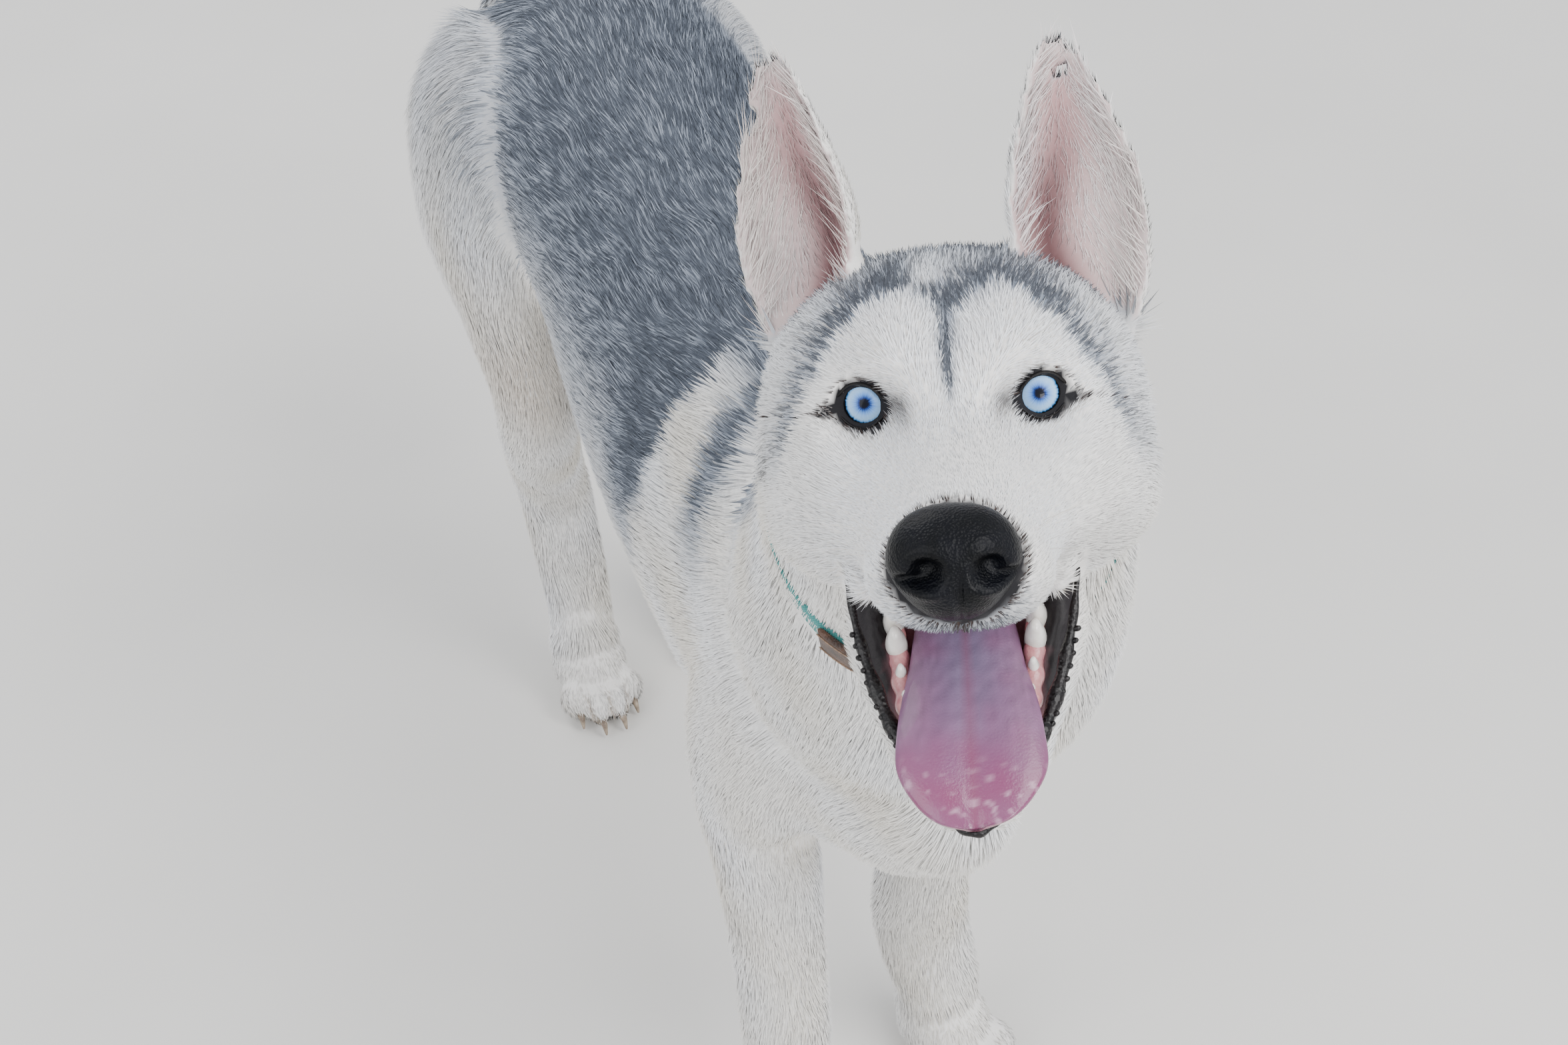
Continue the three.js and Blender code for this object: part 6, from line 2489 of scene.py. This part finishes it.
    def whiskers(self) -> None:
        """Stiff hairs in two rows on the muzzle and over the eyes."""
        random = np.random.default_rng(12)
        hairs = []
        for side in (-1, 1):
            for row, (up, count) in enumerate(((-32, 3), (-38, 2))):
                for k in range(count):
                    forward = 74 - k * 9 - row * 2
                    out = 25 + k * 2.2 + row * 1.5
                    root = in_head(side * out, forward, up)
                    swing = random.normal(size=2) * 0.22
                    way = unit(np.array([side, -0.2 + 0.3 * k + swing[0], 0.45 - 0.2 * row + swing[1]]))
                    long = 20 + 5.5 * k + random.uniform(-3, 3)
                    t = np.linspace(0, 1, 14)[:, None]
                    path = root + way * long * t + np.array([0, 0.25, -0.30]) * long * 0.5 * t**2
                    hairs.append(tube(path, 0.12 * (1 - 0.8 * t[:, 0]), 4))
            for k in range(3):
                root = in_head(side * (22 + 3 * k), 4, 19 + k)
                way = unit(np.array([side * (0.35 + 0.2 * k), -0.75, 0.55]))
                t = np.linspace(0, 1, 12)[:, None]
                path = root + way * 24 * t + np.array([side * 0.2, 0.5, 0.3]) * 8 * t**2
                hairs.append(tube(path, 0.18 * (1 - 0.8 * t[:, 0]), 4))
        piece = mesh_of("whiskers", joined(hairs).moved(to_body), self.placer)
        dressed(piece, "whisker")

    def make(self) -> None:
        """Builds them all."""
        self.nose()
        self.tongue()
        self.teeth()
        self.gums()
        self.lips()
        self.whiskers()


@dataclass
class Claws:
    """Sixteen horn claws."""

    placer: Placer
    thick: float = 2.8

    def make(self) -> None:
        """Builds the claws of every paw as one piece."""
        claws = []
        for name in PAWS:
            matrix = paw_matrix(name)
            for out, ahead, long in TOES:
                tip = -ahead - long
                t = np.linspace(0, 1, 12)
                rows = [(out, tip + 7, 8.5), (out * 1.02, tip + 0.5, 8.4), (out * 1.04, tip - 3, 2.6)]
                path = along(rows, t * 2)
                radii = self.thick * (1 - 0.8 * t**1.3)
                horn = tube(path, radii, 16, 1.15)
                claws.append(horn.moved(lambda p, m=matrix: p @ m[:3, :3].T + m[:3, 3]))
        piece = mesh_of("claws", joined(claws), self.placer)
        dressed(piece, "claw")


@dataclass
class Collar:
    """The webbing collar and the leather keeper over it; sizes in millimetres."""

    placer: Placer
    width: float = 19.0
    inner: float = -12.0
    outer: float = -7.2
    keeper_from: float = 208.0
    keeper_span: float = 22.0
    keeper_thick: float = 3.0

    def point(self, turn: Array, grow: Array, across: Array) -> Array:
        """Points of the collar.

        Args:
            turn: angle round the neck, in radians.
            grow: height over the tips of the coat.
            across: place across the band.
        Returns:
            The points, in the dog's frame.
        """
        turn, grow, across = np.broadcast_arrays(turn, grow, across)
        shape = turn.shape
        neck = LIMBS["neck"]
        centre, run, side, front, row = neck.frame(np.full(turn.size, COLLAR_ROW))
        c, s = oval(turn.ravel(), 0.94)
        points = centre + side * (c * (row[:, 3] + grow.ravel()))[:, None]
        points += front * (s * (row[:, 4] + grow.ravel()))[:, None]
        drop = (points[:, 1] - centre[:, 1]) * math.sin(COLLAR_TILT)
        return (points + run * (across.ravel() + drop)[:, None]).reshape(*shape, 3)

    def band(self, sides: int = 200) -> None:
        """The woven band, with rounded edges and a map in millimetres.

        Args:
            sides: corners of each section.
        """
        half = self.width / 2
        edge = np.linspace(0, math.pi, 7)
        middle, thick = (self.inner + self.outer) / 2, (self.outer - self.inner) / 2
        high = np.concatenate([thick * np.cos(edge), -thick * np.cos(edge)]) + middle
        across = np.concatenate([half - 1.2 + 1.2 * np.sin(edge), -(half - 1.2) - 1.2 * np.sin(edge)])
        turn = circle(sides)[:, None]
        points = self.point(turn, high[None], across[None])
        section = len(high)
        a, k = np.meshgrid(np.arange(sides), np.arange(section), indexing="ij")
        b, n = (a + 1) % sides, (k + 1) % section
        faces = np.stack([a * section + k, b * section + k, b * section + n, a * section + n], -1)
        faces = faces.reshape(-1, 4)
        around = COLLAR_GIRTH / sides
        step = np.concatenate([[0], np.cumsum(np.hypot(np.diff(high), np.diff(across)))])
        close = step[-1] + math.hypot(high[0] - high[-1], across[0] - across[-1])
        spots = np.concatenate([step, [close]])
        u = np.stack([a, a + 1, a + 1, a], -1) * around
        v = np.stack([spots[k], spots[k], spots[k + 1], spots[k + 1]], -1)
        unwrap = np.stack([u, v], -1).reshape(-1, 4, 2)
        shape = Shape(points.reshape(-1, 3), [faces])
        if volume(shape) < 0:
            shape = Shape(shape.points, [faces[:, ::-1]])
            unwrap = unwrap[:, ::-1]
        piece = mesh_of("collar_band", shape, self.placer)
        layer = piece.data.uv_layers.new(name="Band")
        layer.data.foreach_set("uv", unwrap.astype(np.float32).ravel())
        dressed(piece, "webbing", ("collar",))

    def keeper(self) -> None:
        """The leather keeper: a rounded strap over the band with stitches along its edges."""
        turn = np.radians(np.linspace(self.keeper_from, self.keeper_from + self.keeper_span, 40))[:, None]
        around = np.linspace(0, 2 * math.pi, 48, endpoint=False)[None]
        c, s = oval(around, 0.35)
        half = self.width / 2 + 2.0
        ends = np.sqrt(np.clip(1 - np.abs(np.linspace(-1, 1, 40)) ** 10, 0.02, 1))[:, None]
        low, high = self.outer - 0.4, self.outer + self.keeper_thick
        height = (low + high) / 2 + s * (high - low) / 2 * ends
        points = self.point(turn, height, c * half * (0.86 + 0.14 * ends))
        piece = mesh_of("keeper_leather", loft(points), self.placer)
        dressed(piece, "leather", ("collar_keeper",))
        row = RowOf(self.placer, Kind.STITCH, long=2.6, wide=0.8)
        first, final = self.keeper_from + 1.5, self.keeper_from + self.keeper_span - 1.5
        along_it = np.radians(np.linspace(first, final, 12))
        points, aims, runs = [], [], []
        for across in (-half + 2.4, half - 2.4):
            spot = self.point(along_it, high + 0.05, across)
            lower = self.point(along_it, high - 1.0, across)
            points.append(spot)
            aims.append(spot - lower)
            runs.append(np.gradient(spot, axis=0))
        row.make(
            "keeper_stitches",
            np.concatenate(points),
            np.concatenate(aims),
            np.concatenate(runs),
            "thread",
            "collar_leather",
        )

    def make(self) -> None:
        """Builds the band and the keeper."""
        self.band()
        self.keeper()


@dataclass
class Stage:
    """The camera, the pale floor and soft studio lights."""

    placer: Placer
    floor_half: float = 9.0

    def camera(self) -> None:
        """The camera at the photograph's view."""
        turn, down, roll = (math.radians(a) for a in (CAMERA_TURN, CAMERA_DOWN, CAMERA_ROLL))
        ahead = Vector((-math.sin(turn) * math.cos(down), math.cos(turn) * math.cos(down), -math.sin(down)))
        right = ahead.cross(Vector((0, 0, 1))).normalized()
        above = right.cross(ahead)
        x = right * math.cos(roll) + above * math.sin(roll)
        y = above * math.cos(roll) - right * math.sin(roll)
        lens = bpy.data.cameras.new("view")
        lens.sensor_width = SENSOR
        lens.lens = FOCAL_WIDTHS * SENSOR
        camera = bpy.data.objects.new("view", lens)
        bpy.context.scene.collection.objects.link(camera)
        matrix = Matrix((x, y, -ahead)).transposed().to_4x4()
        matrix.translation = Vector(self.placer.metres(CAMERA_AT))
        camera.matrix_world = matrix
        bpy.context.scene.camera = camera

    def floor(self) -> None:
        """A plain pale floor."""
        mesh = bpy.data.meshes.new("studio_floor")
        size = self.floor_half
        corners = [(-size, -size, 0), (size, -size, 0), (size, size, 0), (-size, size, 0)]
        mesh.from_pydata(corners, [], [(0, 1, 2, 3)])
        floor = bpy.data.objects.new("studio_floor", mesh)
        bpy.context.scene.collection.objects.link(floor)
        floor.data.materials.append(finish("floor"))

    def light(self, name: str, at: tuple, aim: tuple, size: float, watts: float) -> None:
        """One soft square light.

        Args:
            name: its name.
            at: its place, in metres.
            aim: the point that it shines at.
            size: the length of its side, in metres.
            watts: its power.
        """
        lamp = bpy.data.lights.new(name, "AREA")
        lamp.size = size
        lamp.energy = watts
        lamp.color = (1.0, 0.99, 0.975)
        holder = bpy.data.objects.new(name, lamp)
        bpy.context.scene.collection.objects.link(holder)
        way = Vector(aim) - Vector(at)
        holder.matrix_world = Matrix.Translation(at) @ way.to_track_quat("-Z", "Y").to_matrix().to_4x4()

    def make(self) -> None:
        """Builds the stage."""
        self.camera()
        self.floor()
        self.light("key", (1.4, -1.9, 3.2), (0, 0, 0.45), 2.6, 132)
        self.light("fill", (-2.8, -1.2, 2.2), (0, 0, 0.5), 2.8, 68)
        self.light("rim", (-0.6, 2.8, 2.6), (0, 0.1, 0.5), 2.2, 48)
        self.light("eye_light", (0.12, -1.6, 1.05), (0, -0.35, 0.75), 0.4, 7.0)
        world = bpy.data.worlds.new("studio")
        world.use_nodes = True
        back = world.node_tree.nodes["Background"]
        back.inputs["Color"].default_value = (0.84, 0.88, 0.95, 1.0)
        back.inputs["Strength"].default_value = 1.0
        bpy.context.scene.world = world


def main() -> None:
    """Builds the stage and the dog."""
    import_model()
    placer = Placer()
    Stage(placer).make()
    Eyes(placer).make()
    Muzzle(placer).make()
    Claws(placer).make()
    Collar(placer).make()
    skin = Skin(placer)
    skin.make()
    Fur(skin, placer).make()


if __name__ == "__main__":
    main()
